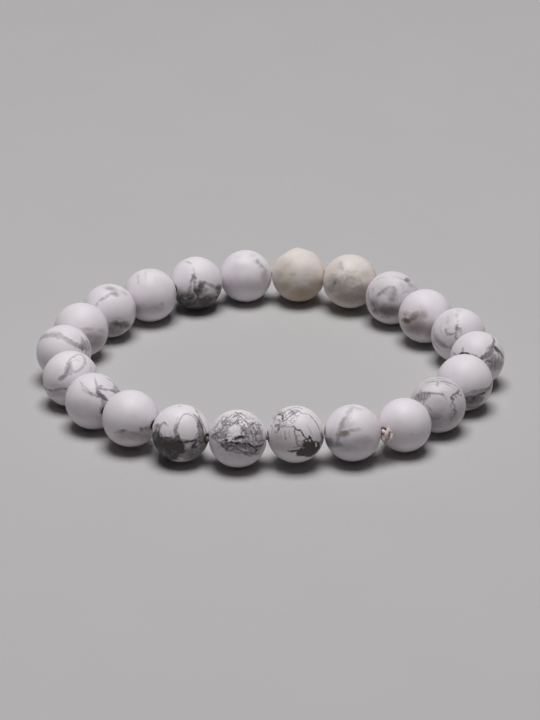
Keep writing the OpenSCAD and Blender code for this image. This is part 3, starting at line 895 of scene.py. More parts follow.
@dataclass(frozen=True)
class Lens:
    """An ellipsoid in the stone: mostly a thin body of mineral, and for a few charted marks painted shade.

    The bead's surface cuts it into a tapering line or a patch. middle, axes and sizes are in shares of the
    bead's radius, in the face's frame: right, up, towards the camera's place. axes holds the three
    directions as columns.
    """

    middle: np.ndarray
    axes: np.ndarray
    sizes: Row
    strength: float

    # A vein's soft edge eats into it, so it is drawn a little wider and stronger than it is charted
    VEIN_WIDTH: ClassVar[float] = 1.15
    VEIN_INK: ClassVar[float] = 1.3
    # One lens follows a curved vein up to this lean of its plane. Every lens runs past its vein's ends,
    # because it tapers to nothing there
    MOST_LEAN: ClassVar[float] = 0.45
    CURVED_REACH: ClassVar[float] = 1.35
    SPLIT_REACH: ClassVar[float] = 1.6
    LEAST_THINNING: ClassVar[float] = 0.2
    PATCH_DEPTH: ClassVar[float] = 0.45

    @staticmethod
    def on_face(across: float, up: float) -> np.ndarray:
        """The point of the unit sphere that shows at across, up on the bead's face."""
        return np.array([across, up, math.sqrt(max(0.0, 1 - across * across - up * up))])

    @classmethod
    def sheet(cls, points: Iterable[np.ndarray], half_width: float, ink: float, past: float) -> "Lens":
        """A flat lens through three points of the unit sphere.

        Args:
            points: its start, middle and end.
            half_width: half of the line's width on the surface.
            ink: its strength.
            past: its length, in shares of the way from the middle to the farther end.

        Returns:
            The lens. Where its plane leans away from the bead's middle it is thinned, so that the cut
            keeps its width.
        """
        start, middle, end = points
        normal = unit(np.cross(middle - start, end - middle))
        along = unit(end - start)
        reach = past * max(np.linalg.norm(start - middle), np.linalg.norm(end - middle))
        thinning = math.sqrt(max(cls.LEAST_THINNING, 1 - (normal @ middle) ** 2))
        axes = np.stack([along, np.cross(normal, along), normal], -1)
        return cls(middle, axes, (reach, reach, half_width * thinning), ink)

    @classmethod
    def vein(cls, row: Row) -> list["Lens"]:
        """The lenses of one vein.

        Args:
            row: a row of Chart.veins.

        Returns:
            One lens through the three points where they lie on a slow curve. Where they turn sharply, its
            plane would lie flat on the stone, so there are two, each square to the surface.
        """
        half_width, ink, *share = np.array(row) / 100
        half_width *= cls.VEIN_WIDTH
        ink *= cls.VEIN_INK
        start, middle, end = (cls.on_face(*share[i : i + 2]) for i in (0, 2, 4))
        curved = cls.sheet((start, middle, end), half_width, ink, cls.CURVED_REACH)
        if abs(curved.axes[:, 2] @ middle) < cls.MOST_LEAN:
            return [curved]
        halves = ((start, unit(start + middle), middle), (middle, unit(middle + end), end))
        return [cls.sheet(half, half_width, ink, cls.SPLIT_REACH) for half in halves]

    @classmethod
    def patch(cls, row: Row) -> "Lens":
        """A lens that shows as an ellipse on the face.

        Args:
            row: a row of Chart.greys, Chart.stains or Chart.clears.

        Returns:
            The lens, which reaches into the stone but not through to its hidden side.
        """
        across, up, half_width, half_height, _, strength = np.array(row) / 100
        turn = math.radians(row[4])
        cos, sin = math.cos(turn), math.sin(turn)
        axes = np.array([[cos, -sin, 0], [sin, cos, 0], [0, 0, 1]])
        depth = cls.PATCH_DEPTH + max(half_width, half_height)
        return cls(cls.on_face(across, up), axes, (half_width, half_height, depth), strength)


# Finishes


class Edge(Enum):
    """The outer share of a mark over which it fades away."""

    CLEAR = 0.15
    SOLID_GREY = 0.25
    WEB = 0.30
    BROAD_VEIN = 0.35
    GREY = 0.45
    STAIN_AND_SHADE = 0.50
    THIN_VEIN = 0.60


@dataclass(frozen=True)
class Lumps:
    """A noise pattern read as a share.

    size_mm is the lumps' size and detail the noise's finer octaves. The share is least where the noise is
    low and most where it is high. fade is how it runs between them.
    """

    size_mm: float
    detail: float
    low: float
    high: float
    least: float = 0.0
    most: float = 1.0
    fade: str = "LINEAR"


@dataclass
class StoneBench(NodeBench):
    """The bench with one stone on it, and the tools that draw mineral, and a few marks of painted shade, into
    that stone.

    Patterns are drawn in the bead's own face frame, in shares of its radius: right, up, out of the face.
    The swings are how far noise moves the marks, so that no vein is a clean arc.
    """

    bead: "Bead"
    finish: "Howlite"
    blur: float

    NOISE_ROUGHNESS: ClassVar[float] = 0.6
    SEED_STEP: ClassVar[float] = 3.7
    BROAD_SWING: ClassVar[float] = 0.16
    VEIN_SWING: ClassVar[float] = 0.13
    PATCH_SWING: ClassVar[float] = 0.20
    # A mark has faded to nothing at this many times its size, and its edge takes at most this share of it
    ROOM: ClassVar[float] = 1.15
    MOST_SOFT: ClassVar[float] = 0.95
    # Half width over which a vein counts as broad, and strength over which a grey counts as solid
    BROAD: ClassVar[float] = 7
    SOLID: ClassVar[float] = 100

    def __post_init__(self) -> None:
        """Sets up the face frame, and the wandering copies of it that the marks are drawn in."""
        super().__post_init__()
        place = self.add("TexCoord", {}, "Object")
        self.face = self.add("Mapping", {
            "Vector": place, "Location": tuple(self.bead.middle),
            "Rotation": Matrix(self.bead.face.tolist()).to_euler(), "Scale": (self.bead.radius,) * 3,
        }, vector_type="TEXTURE")
        wander = self.noise(self.finish.wander_mm, detail=2.0, output=1)
        self.broad = self.wandered(self.face, wander, self.BROAD_SWING)
        jitter = self.noise(self.finish.jitter_mm, detail=5.0, output=1)
        self.for_veins = self.wandered(self.broad, jitter, self.VEIN_SWING)
        self.for_patches = self.wandered(self.broad, jitter, self.PATCH_SWING)

    def noise(self, size_mm: float, detail: float, output: int = 0) -> Any:
        """Adds noise that is different on every bead.

        Args:
            size_mm: how large its lumps are.
            detail: its finer octaves.
            output: 0 for its value, 1 for a colour whose three parts run each their own way.

        Returns:
            That output.
        """
        return self.add("TexNoise", {
            "Vector": self.face, "Scale": self.bead.radius / MM / size_mm, "Detail": detail,
            "Roughness": self.NOISE_ROUGHNESS, "W": self.SEED_STEP * self.bead.number,
        }, output, noise_dimensions="4D")

    def share(self, lumps: Lumps) -> Any:
        """Reads a noise pattern as a share.

        Args:
            lumps: the pattern.

        Returns:
            The share.
        """
        value = self.noise(lumps.size_mm, lumps.detail)
        band = (lumps.low, lumps.high, lumps.least, lumps.most)
        return self.add("MapRange", (value, *band), interpolation_type=lumps.fade)

    def wandered(self, source: Any, noise_colour: Any, swing: float) -> Any:
        """Moves the point by a noise colour, up to half of swing each way."""
        centred = self.add("VectorMath", (noise_colour, (0.5,) * 3), operation="SUBTRACT")
        return self.add("VectorMath", (centred, (swing,) * 3, source), operation="MULTIPLY_ADD")

    def nearness(self, lens: Lens, source: Any, room: float) -> Any:
        """How near a point is to the middle of a lens, by a spherical gradient in the lens' own frame.

        It takes two nodes and no arithmetic, because the renderer has room for few results that wait.

        Args:
            lens: the lens.
            source: the point.
            room: how many times the lens' size the gradient reaches.

        Returns:
            1 at the middle, falling evenly to 0 at that reach.
        """
        local = self.add("Mapping", {
            "Vector": source, "Location": tuple(lens.middle),
            "Rotation": Matrix(lens.axes.tolist()).to_euler(), "Scale": tuple(room * np.array(lens.sizes)),
        }, vector_type="TEXTURE")
        return self.add("TexGradient", (local,), "Fac", gradient_type="SPHERICAL")

    def inked(self, lens: Lens, source: Any, edge: Edge) -> Any:
        """How strongly a lens shows.

        Args:
            lens: the lens.
            source: the point, in one of the wandering frames.
            edge: the kind of mark that it makes.

        Returns:
            Its strength inside, falling smoothly to 0 over its outer share.
        """
        soft = min(self.MOST_SOFT, edge.value + self.blur)
        band = (0.0, 1 - (1 - soft) / self.ROOM, 0.0, float(lens.strength))
        near = self.nearness(lens, source, self.ROOM)
        return self.add("MapRange", (near, *band), interpolation_type="SMOOTHSTEP")

    def veins(self, rows: Rows) -> Iterable[Any]:
        """How strongly each lens of the veins shows.

        Args:
            rows: Chart.veins.

        Yields:
            One socket for each lens, made when it is asked for.
        """
        for row in rows:
            edge = Edge.BROAD_VEIN if row[0] > self.BROAD else Edge.THIN_VEIN
            for lens in Lens.vein(row):
                yield self.inked(lens, self.for_veins, edge)

    def greys(self, rows: Rows) -> Iterable[Any]:
        """How strongly each grey shows.

        Args:
            rows: Chart.greys.

        Yields:
            One socket for each grey, made when it is asked for.
        """
        for row in rows:
            edge = Edge.SOLID_GREY if row[5] > self.SOLID else Edge.GREY
            yield self.inked(Lens.patch(row), self.for_patches, edge)

    def patches(self, rows: Rows, edge: Edge) -> Iterable[Any]:
        """How strongly each stain or clear shows."""
        return (self.inked(Lens.patch(row), self.for_patches, edge) for row in rows)

    def rings(self, rows: Rows) -> Iterable[Any]:
        """How strongly the outline of each ring shows.

        The gradient reaches twice the ellipse's size, so the outline lies where it is a half.

        Args:
            rows: Chart.rings.

        Yields:
            One socket for each ring, made when it is asked for.
        """
        for *ellipse, half_line in rows:
            lens = Lens.patch(tuple(ellipse))
            near = self.nearness(lens, self.for_veins, room=2.0)
            aside = self.add("Math", (near, 0.5), operation="SUBTRACT")
            off = self.add("Math", (aside,), operation="ABSOLUTE")
            band = (0.0, 0.5 * half_line / min(ellipse[2:4]), float(lens.strength), 0.0)
            yield self.add("MapRange", (off, *band), interpolation_type="SMOOTHSTEP")


@dataclass(frozen=True)
class Howlite:
    """Howlite: a chalky white stone with grey veins, tumbled and wax polished to a satin.

    The polish gives broad, soft highlights. The veins are a darker mineral that polishes a little duller.
    hidden_veins is how strong the veins on the uncharted side are.
    """

    body: str = "eee7ed"
    shade: str = "e6dfe5"
    grey: str = "504e4c"
    vein: str = "2e2b2b"
    # This brown also colours painted shade in a few charted marks.
    stain_and_shade: str = "7d6654"
    hidden_veins: float = 0.65
    roughness: float = 0.50
    duller: float = 0.14
    vein_cleared: float = 0.8
    grain_mm: float = 0.28
    grain_height: float = 0.005 * MM
    wander_mm: float = 2.2
    jitter_mm: float = 0.55
    clouds: Lumps = Lumps(3.2, 3.0, 0.35, 0.65)
    # A vein comes and goes, and a patch is mottled
    breaks: Lumps = Lumps(0.8, 3.0, 0.38, 0.60, least=0.65)
    broad_mottle: Lumps = Lumps(1.1, 4.0, 0.38, 0.62, least=0.80)
    fine_mottle: Lumps = Lumps(0.42, 3.0, 0.36, 0.60, least=0.85)
    # The cells of the fine network are a quarter of the bead's radius wide, bent by wide swings of noise
    web_bend_mm: float = 1.3
    web_swing: float = 0.9
    web_cells: float = 4.2
    web_line: Row = (0.01, 0.13)
    # The uncharted side's veins follow the middle of this noise, now thin and now thick
    ridge_mm: float = 3.6
    girth: Lumps = Lumps(2.2, 2.0, 0.38, 0.64, 0.010, 0.055)
    hidden_cloud: Lumps = Lumps(2.9, 5.0, 0.57, 0.68, most=1.2, fade="SMOOTHSTEP")
    hidden_depth: float = 0.25

    def web(self, bench: StoneBench, row: Row, veins: Any) -> Any:
        """Adds a fine network to the veins.

        Args:
            bench: the stone's bench.
            row: Chart.web.
            veins: how strongly the charted veins show.

        Returns:
            How strongly veins and network show.
        """
        add = bench.add
        bend = bench.noise(self.web_bend_mm, detail=3.0, output=1)
        cells = {"Vector": bench.wandered(bench.broad, bend, self.web_swing), "Scale": self.web_cells}
        off = add("TexVoronoi", cells, feature="DISTANCE_TO_EDGE")
        line = add("MapRange", (off, *self.web_line, 1.0, 0.0), interpolation_type="SMOOTHSTEP")
        within = bench.inked(Lens.patch(row), bench.broad, Edge.WEB)
        net = add("Math", (line, within), operation="MULTIPLY")
        return add("Math", (veins, net), operation="MAXIMUM")

    def hidden_marks(self, bench: StoneBench, veins: Any, greys: Any) -> tuple[Any, Any]:
        """Adds a loose net of veins and a few clouds on the side that isn't charted.

        Args:
            bench: the stone's bench.
            veins: how strongly the charted veins show.
            greys: the same for the greys.

        Returns:
            Both with the hidden side's marks.
        """
        add = bench.add
        aside = add("Math", (bench.noise(self.ridge_mm, detail=3.0), 0.5), operation="SUBTRACT")
        ridge = add("Math", (aside,), operation="ABSOLUTE")
        band = (0.0, bench.share(self.girth), self.hidden_veins, 0.0)
        line = add("MapRange", (ridge, *band), interpolation_type="SMOOTHSTEP")
        cloud = bench.share(replace(self.hidden_cloud, most=self.hidden_cloud.most * self.hidden_veins))
        depth = add("SeparateXYZ", (bench.face,), 2)
        hidden = add("MapRange", (depth, 0.0, -self.hidden_depth))
        line = add("Math", (line, hidden), operation="MULTIPLY")
        veins = add("Math", (veins, line), operation="MAXIMUM")
        cloud = add("Math", (cloud, hidden), operation="MULTIPLY")
        return veins, add("Math", (greys, cloud), operation="MAXIMUM")

    def material(self, bead: "Bead", chart: Chart) -> bpy.types.Material:
        """Dresses one stone: its own marks on its face, and guessed ones on its hidden side.

        Args:
            bead: the bead that the material is for.
            chart: the marks on its face.

        Returns:
            The finished material.
        """
        bench = StoneBench(f"Howlite, satin polished, bead {bead.number:02d}", bead, self, chart.blur)
        add = bench.add
        veins = bench.strongest(chain(bench.veins(chart.veins), bench.rings(chart.rings)))
        greys = bench.strongest(bench.greys(chart.greys))
        stains_and_shade = bench.strongest(bench.patches(chart.stains_and_shade, Edge.STAIN_AND_SHADE))
        clears = bench.strongest(bench.patches(chart.clears, Edge.CLEAR))
        breaks = bench.share(self.breaks)
        mottles = (bench.share(self.broad_mottle), bench.share(self.fine_mottle))
        mottle = add("Math", mottles, operation="MULTIPLY")
        if chart.web:
            veins = self.web(bench, chart.web, veins)
        if self.hidden_veins:
            veins, greys = self.hidden_marks(bench, veins, greys)

        veins = add("Math", (veins, breaks), operation="MULTIPLY")
        greys = add("Math", (greys, mottle), operation="MULTIPLY")
        # A clear takes all the grey away, and most of a vein
        left = add("Math", (1.0, clears), operation="SUBTRACT")
        greys = add("Math", (greys, left), operation="MULTIPLY")
        left = add("Math", (clears, -self.vein_cleared, 1.0), operation="MULTIPLY_ADD")
        veins = add("Math", (veins, left), operation="MULTIPLY")

        clouds = bench.share(self.clouds)
        colour = linear(self.body)
        layers = ((clouds, self.shade), (stains_and_shade, self.stain_and_shade), (greys, self.grey), (veins, self.vein))
        for share, tone in layers:
            colour = add("Mix", {0: share, 6: colour, 7: linear(tone)}, 2, data_type="RGBA")
        ink = add("Math", (greys, veins), operation="MAXIMUM")
        gloss = add("Math", (ink, self.duller, self.roughness), operation="MULTIPLY_ADD")
        # Relief: polishing ripples a few microns high
        ripples = bench.noise(self.grain_mm, detail=3.0)
        normal = add("Bump", {"Strength": 1.0, "Distance": self.grain_height, "Height": ripples})
        bench.feed(bench.shader, {
            "Base Color": colour, "Roughness": gloss, "IOR": 1.55, "Specular IOR Level": 0.3,
            "Normal": normal,
        })
        return bench.material


@dataclass(frozen=True)
class CoveredElastic:
    """Bead elastic: a rubber core spun over with fine nylon filaments, matt and slightly fuzzy.

    The fibres are drawn coarser than real ones, so that they show: fibre_mm long, fibres_round abreast.
    The tone between pale and deep is mixed from the fibres and a little dirt.
    """

    pale: str = "f3e8e6"
    deep: str = "c9b7b1"
    filaments: int = 11
    fibre_mm: float = 1 / 0.7
    fibres_round: float = 26.0
    fibre_height: float = 0.02 * MM
    dirt_mm: float = 1 / 0.9
    dirt_share: float = 0.4
    fibre_share: float = 0.6
    contrast: Row = (0.36, 0.64)
    roughness: float = 0.72
    sheen: float = 0.25

    def material(self, name: str) -> bpy.types.Material:
        """Makes the finish, whose fibres follow the piece's own UV map.

        Args:
            name: the material's name.

        Returns:
            The finished material.
        """
        bench = NodeBench(name)
        add = bench.add
        uv = add("UVMap", {}, uv_map="Surface")
        grain = add("Mapping", {"Vector": uv, "Scale": (1 / (MM * self.fibre_mm), self.fibres_round, 1.0)})
        fibre = add("TexNoise", {"Vector": grain, "Scale": 1.0, "Detail": 3.0, "Roughness": 0.6})
        place = add("TexCoord", {}, "Object")
        dirt = add("TexNoise", {"Vector": place, "Scale": 1 / (MM * self.dirt_mm), "Detail": 2.0})
        dirt = add("Math", (dirt, self.dirt_share), operation="MULTIPLY")
        mixed = add("Math", (fibre, self.fibre_share, dirt), operation="MULTIPLY_ADD")
        share = add("MapRange", (mixed, *self.contrast))
        tones = {0: share, 6: linear(self.deep), 7: linear(self.pale)}
        colour = add("Mix", tones, 2, data_type="RGBA")
        normal = add("Bump", {"Strength": 1.0, "Distance": self.fibre_height, "Height": fibre})
        bench.feed(bench.shader, {
            "Base Color": colour, "Roughness": self.roughness, "Sheen Weight": self.sheen,
            "Sheen Roughness": 0.5, "Normal": normal,
        })
        return bench.material


class Stone(Enum):
    """The three kinds of stone in the strand, each with its finish and the name of a material slot that
    nothing here uses.
    """

    WHITE = ("howlite_white", Howlite(hidden_veins=0.0))
    VEINED = ("howlite_veined", Howlite())
    # The cream's brown also colours painted shade low on the second bead.
    CREAM = ("howlite_cream", Howlite(
        body="ece3e1", shade="e2d6cd", grey="5e5f62", vein="48444a", stain_and_shade="94805c", hidden_veins=0.2,
    ))

    def __init__(self, slot: str, finish: Howlite) -> None:
        """Keeps the slot's name and the finish."""
        self.slot = slot
        self.finish = finish


# The beads


@dataclass
class Bead:
    """One drilled bead, measured from its CAD node."""

    number: int
    stone: Stone
    view: Viewpoint
    middle: np.ndarray = field(init=False)
    radius: float = field(init=False)
    bore_axis: np.ndarray = field(init=False)
    bore_radius: float = field(init=False)
    face: np.ndarray = field(init=False)

    columns: int = 112
    sphere_rings: int = 76
    cone_rings: int = 4
    wall_rings: int = 8
    chamfer: float = 0.30 * MM
    swell_share: float = 0.002

    # The mouths' vertices are the only ones within this share of the radius
    MOUTH_REACH: ClassVar[float] = 0.95
    # The swell grows from nothing to all of it over the sphere's outermost twelfth
    SWELL_ROOM: ClassVar[int] = 12
    # Three slow waves, one a row, and how far each is turned from bead to bead
    WAVES: ClassVar[np.ndarray] = np.array([[4.2, 1.6, -2.4], [-1.4, 4.8, 2.2], [2.6, -2.0, 4.4]])
    WAVE_TURNS: ClassVar[np.ndarray] = np.array([1.9, 2.3, 1.4])

    @property
    def node(self) -> str:
        """The CAD node's name."""
        return f"bead_{self.number:02d}"

    def __post_init__(self) -> None:
        """Measures middle, radius, drilled hole and face frame.

        The long direction of the cloud of the mouths' vertices is the hole's axis, and their distance from
        it the hole's radius.
        """
        low, high = (np.array(corner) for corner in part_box(self.node))
        self.middle = (low + high) / 2
        self.radius = float(high[2] - low[2]) / 2
        points = node_vertices(self.node) - self.middle
        mouths = points[np.linalg.norm(points, axis=1) < self.MOUTH_REACH * self.radius]
        self.bore_axis = unit(np.linalg.svd(mouths, full_matrices=False)[2][0])
        self.bore_radius = float(np.linalg.norm(np.cross(mouths, self.bore_axis), axis=1).min())
        out = unit(self.view.place() - self.middle)
        right = unit(np.cross(self.view.up(), out))
        self.face = np.stack([right, np.cross(out, right), out], -1)

    def profile(self) -> np.ndarray:
        """The closed outline that is revolved about the hole's axis.

        Returns:
            Rows of distance from the axis and place along it: over the sphere from one mouth to the
            other, down the chamfer into the hole, back through it and out up the other chamfer.
        """
        r, hole = self.radius, self.bore_radius
        mouth = math.sqrt(r * r - hole * hole) - self.chamfer
        # The chamfer is a 45 degree cone, so its rim solves (hole + z - mouth)^2 + z^2 = r^2
        lift = mouth - hole
        rim = (lift + math.sqrt(2 * r * r - lift * lift)) / 2
        angle = np.linspace(math.acos(rim / r), math.pi - math.acos(rim / r), self.sphere_rings)
        sphere = np.stack([r * np.sin(angle), r * np.cos(angle)], -1)
        step = np.linspace(0, 1, self.cone_rings + 1)[1:, None]
        cone = sphere[-1] + step * (np.array([hole, -mouth]) - sphere[-1])
        depth = np.linspace(-mouth, mouth, self.wall_rings + 1)
        wall = np.stack([np.full(len(depth), hole), depth], -1)[1:]
        back = (wall[-1] + step * (sphere[0] - wall[-1]))[:-1]
        return np.concatenate([sphere, cone, wall, back])

    def swell(self, heading: np.ndarray) -> np.ndarray:
        """How far the tumbled stone stands off a true sphere, as a share of its radius.

        Args:
            heading: unit directions from the bead's middle.

        Returns:
            One share for each direction: the mean of three slow waves, a fifth of a percent at most.
        """
        waves = np.sin(heading @ self.WAVES.T + self.WAVE_TURNS * self.number)
        return self.swell_share * waves.sum(-1) / len(self.WAVES)

    def build(self) -> bpy.types.Object:
        """Revolves the outline, dresses it and puts it in the CAD node's place.

        Each outline point becomes a ring: distance * (cos(a) * side + sin(a) * up) + place * hole's axis.

        Returns:
            The finished bead.
        """
        outline = self.profile()
        side = unit(np.cross(self.bore_axis, UPWARDS))
        up = np.cross(self.bore_axis, side)
        angle = angles(self.columns)[:, None]
        ring = np.cos(angle) * side + np.sin(angle) * up
        points = outline[:, :1, None] * ring[None] + outline[:, 1:, None] * self.bore_axis
        onto = np.linalg.norm(points, axis=-1, keepdims=True) / self.radius
        grown = np.clip(onto * self.SWELL_ROOM - (self.SWELL_ROOM - 1), 0, 1)
        points = points * (1 + self.swell(unit(points))[..., None] * grown)
        quads = closed_grid(len(outline), self.columns)[:, ::-1]
        piece = Surface(points.reshape(-1, 3) + self.middle, [quads]).piece(f"stone_{self.number:02d}")
        piece.data.materials.append(self.stone.finish.material(self, CHARTS[self.number]))
        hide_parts(self.node)
        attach(piece, ROOT_BODY)
        return piece


@dataclass
class LumpyBead(Bead):
    """The second bead, whose tumbled form kept low nubs and worn flats.

    nubs: bearing, elevation, ball's radius and stand-out. flats: bearing, elevation, depth. Angles are in
    degrees and the rest in shares of the bead's radius. ease is how softly they run into the sphere.
    """

    nubs: Rows = ((160, 34, 0.60, 0.025), (90, 64, 0.45, 0.042), (30, 45, 0.60, 0.015))
    flats: Rows = ((150, 48, 0.035), (62, 57, 0.012))
    ease: float = 0.008

    # Where a direction hardly faces a flat, this cosine puts the flat's plane far outside the stone
    LEAST_FACING: ClassVar[float] = 0.2

    @staticmethod
    def toward(bearing: float, elevation: float) -> np.ndarray:
        """Unit direction from a bearing and an elevation in degrees."""
        b, e = math.radians(bearing), math.radians(elevation)
        return np.array([math.cos(e) * math.cos(b), math.cos(e) * math.sin(b), math.sin(e)])

    def swell(self, heading: np.ndarray) -> np.ndarray:
        """Adds the nubs and flats to a bead's slow waves.

        A nub is where a ray from the middle leaves the nub's ball: t = c.d + sqrt((c.d)^2 - |c|^2 + ball^2).
        A flat is where it meets a plane: t = (1 - depth) / n.d. Soft maximum and minimum join them.

        Args:
            heading: unit directions from the bead's middle.

        Returns:
            One share for each direction.
        """
        reach = np.ones(heading.shape[:-1])
        for bearing, elevation, ball, out in self.nubs:
            centre = (1 + out - ball) * self.toward(bearing, elevation)
            dot = heading @ centre
            inside = dot * dot - centre @ centre + ball * ball
            leave = np.where(inside > 0, dot + np.sqrt(np.maximum(inside, 0)), 0)
            reach = self.ease * np.logaddexp(reach / self.ease, leave / self.ease)
        for bearing, elevation, depth in self.flats:
            dot = np.maximum(heading @ self.toward(bearing, elevation), self.LEAST_FACING)
            reach = -self.ease * np.logaddexp(-reach / self.ease, -(1 - depth) / dot / self.ease)
        return reach - 1 + super().swell(heading)


@dataclass
class Strand:
    """All the beads, clockwise from the back as seen from above."""

    view: Viewpoint
    whites: tuple[int, ...] = (5, 8, 10, 15, 19, 21)
    creams: tuple[int, ...] = (2, 3)
    lumpy: int = 2
    count: int = 22
    beads: list[Bead] = field(default_factory=list)

    def stone(self, number: int) -> Stone:
        """The kind of stone of a bead."""
        kind = Stone.WHITE if number in self.whites else Stone.VEINED
        return Stone.CREAM if number in self.creams else kind

    def __post_init__(self) -> None:
        """Measures every bead, and turns each hole's axis towards the next bead."""
        for number in range(1, self.count + 1):
            kind = LumpyBead if number == self.lumpy else Bead
            self.beads.append(kind(number, self.stone(number), self.view))
        for bead, after in zip(self.beads, self.beads[1:] + self.beads[:1]):
            if bead.bore_axis @ (after.middle - bead.middle) < 0:
                bead.bore_axis = -bead.bore_axis

    def build(self) -> None:
        """Makes every bead."""
        for bead in self.beads:
            log.info("%s: radius %.3f mm", bead.build().name, bead.radius / MM)


# The cord and its knot


@dataclass
class ElasticCord:
    """The closed cord through every hole. It bends between the beads and runs straight inside them.

    groove is the depth of the grooves between its filaments, as a share of its radius. twists is how many
    filaments' places the bundle turns by round the loop. The whisker's bends are in millimetres inwards and
    upwards.
    """

    strand: Strand
    # These tones are far darker than the knot's, which is the same elastic: painted shade, for a cord that
    # shows only deep in the gaps between the beads. The whisker shares them.
    finish: CoveredElastic = CoveredElastic(pale="9d8f7d", deep="66594b")
    radius: float = 0.35 * MM
    bend: float = 0.5 * MM
    groove: float = 0.07
    twists: int = 40
    bend_steps: int = 8
    run_steps: int = 8
    sides: int = 66
    whisker_after: int = 16
    whisker_bends: Rows = ((1.9, 0.5), (2.7, 2.4))
    whisker_radii_mm: Row = (0.030, 0.010)
    whisker_steps: int = 16
    whisker_sides: int = 5

    def corners(self) -> np.ndarray:
        """Where the straight runs meet: midway between the two mouths that face each other.

        Returns:
            One point for each bead, behind it.
        """
        beads = self.strand.beads
        ahead = np.array([b.middle + b.radius * b.bore_axis for b in beads])
        behind = np.array([b.middle - b.radius * b.bore_axis for b in beads])
        return (ahead + np.roll(behind, -1, 0)) / 2

    def route(self) -> np.ndarray:
        """The cord's middle line.

        Returns:
            The points of a parabola at each corner and of a straight run to the next, in order.
        """
        corner = self.corners()
        run = unit(corner - np.roll(corner, 1, 0))
        enters = corner - self.bend * run
        leaves = corner + self.bend * np.roll(run, -1, 0)
        bends = bent(enters[:, None], corner[:, None], leaves[:, None], self.bend_steps)
        s = np.linspace(0, 1, self.run_steps + 2)[1:-1][None, :, None]
        straight = (1 - s) * leaves[:, None] + s * np.roll(enters, -1, 0)[:, None]
        return np.concatenate([bends, straight], 1).reshape(-1, 3)

    def whisker(self) -> Surface:
        """The one fibre that stands off the cord, on the inside behind the sixteenth bead.

        Returns:
            The fibre.
        """
        start = self.corners()[self.whisker_after - 1]
        inwards = unit(np.array([-start[0], -start[1], 0.0]))
        middle, end = (start + MM * (across * inwards + up * UPWARDS) for across, up in self.whisker_bends)
        path = bent(start, middle, end, self.whisker_steps)
        return Surface.fibre(path, UPWARDS, self.whisker_radii_mm, self.whisker_sides)

    def build(self) -> bpy.types.Object:
        """Sweeps the grooved tube along the route and dresses it.

        Returns:
            The finished cord.
        """
        path = self.route()
        steps = np.linalg.norm(np.roll(path, -1, 0) - path, axis=1)
        share = np.concatenate([[0], np.cumsum(steps)[:-1]]) / steps.sum()
        count = self.finish.filaments
        phase = count * (angles(self.sides)[None] + TURN * self.twists / count * share[:, None])
        radius = self.radius * grooved(phase, self.groove)
        tube = Surface.loop(path, UPWARDS, radius, float(steps.sum()))
        piece = Surface.joined([tube, self.whisker()]).piece("cord_filaments")
        piece.data.materials.append(self.finish.material("Covered bead elastic, darkened as painted shade, cord"))
        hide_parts("elastic_cord")
        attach(piece, ROOT_BODY)
        log.info("cord: %.1f mm round the loop", steps.sum() / MM)
        return piece


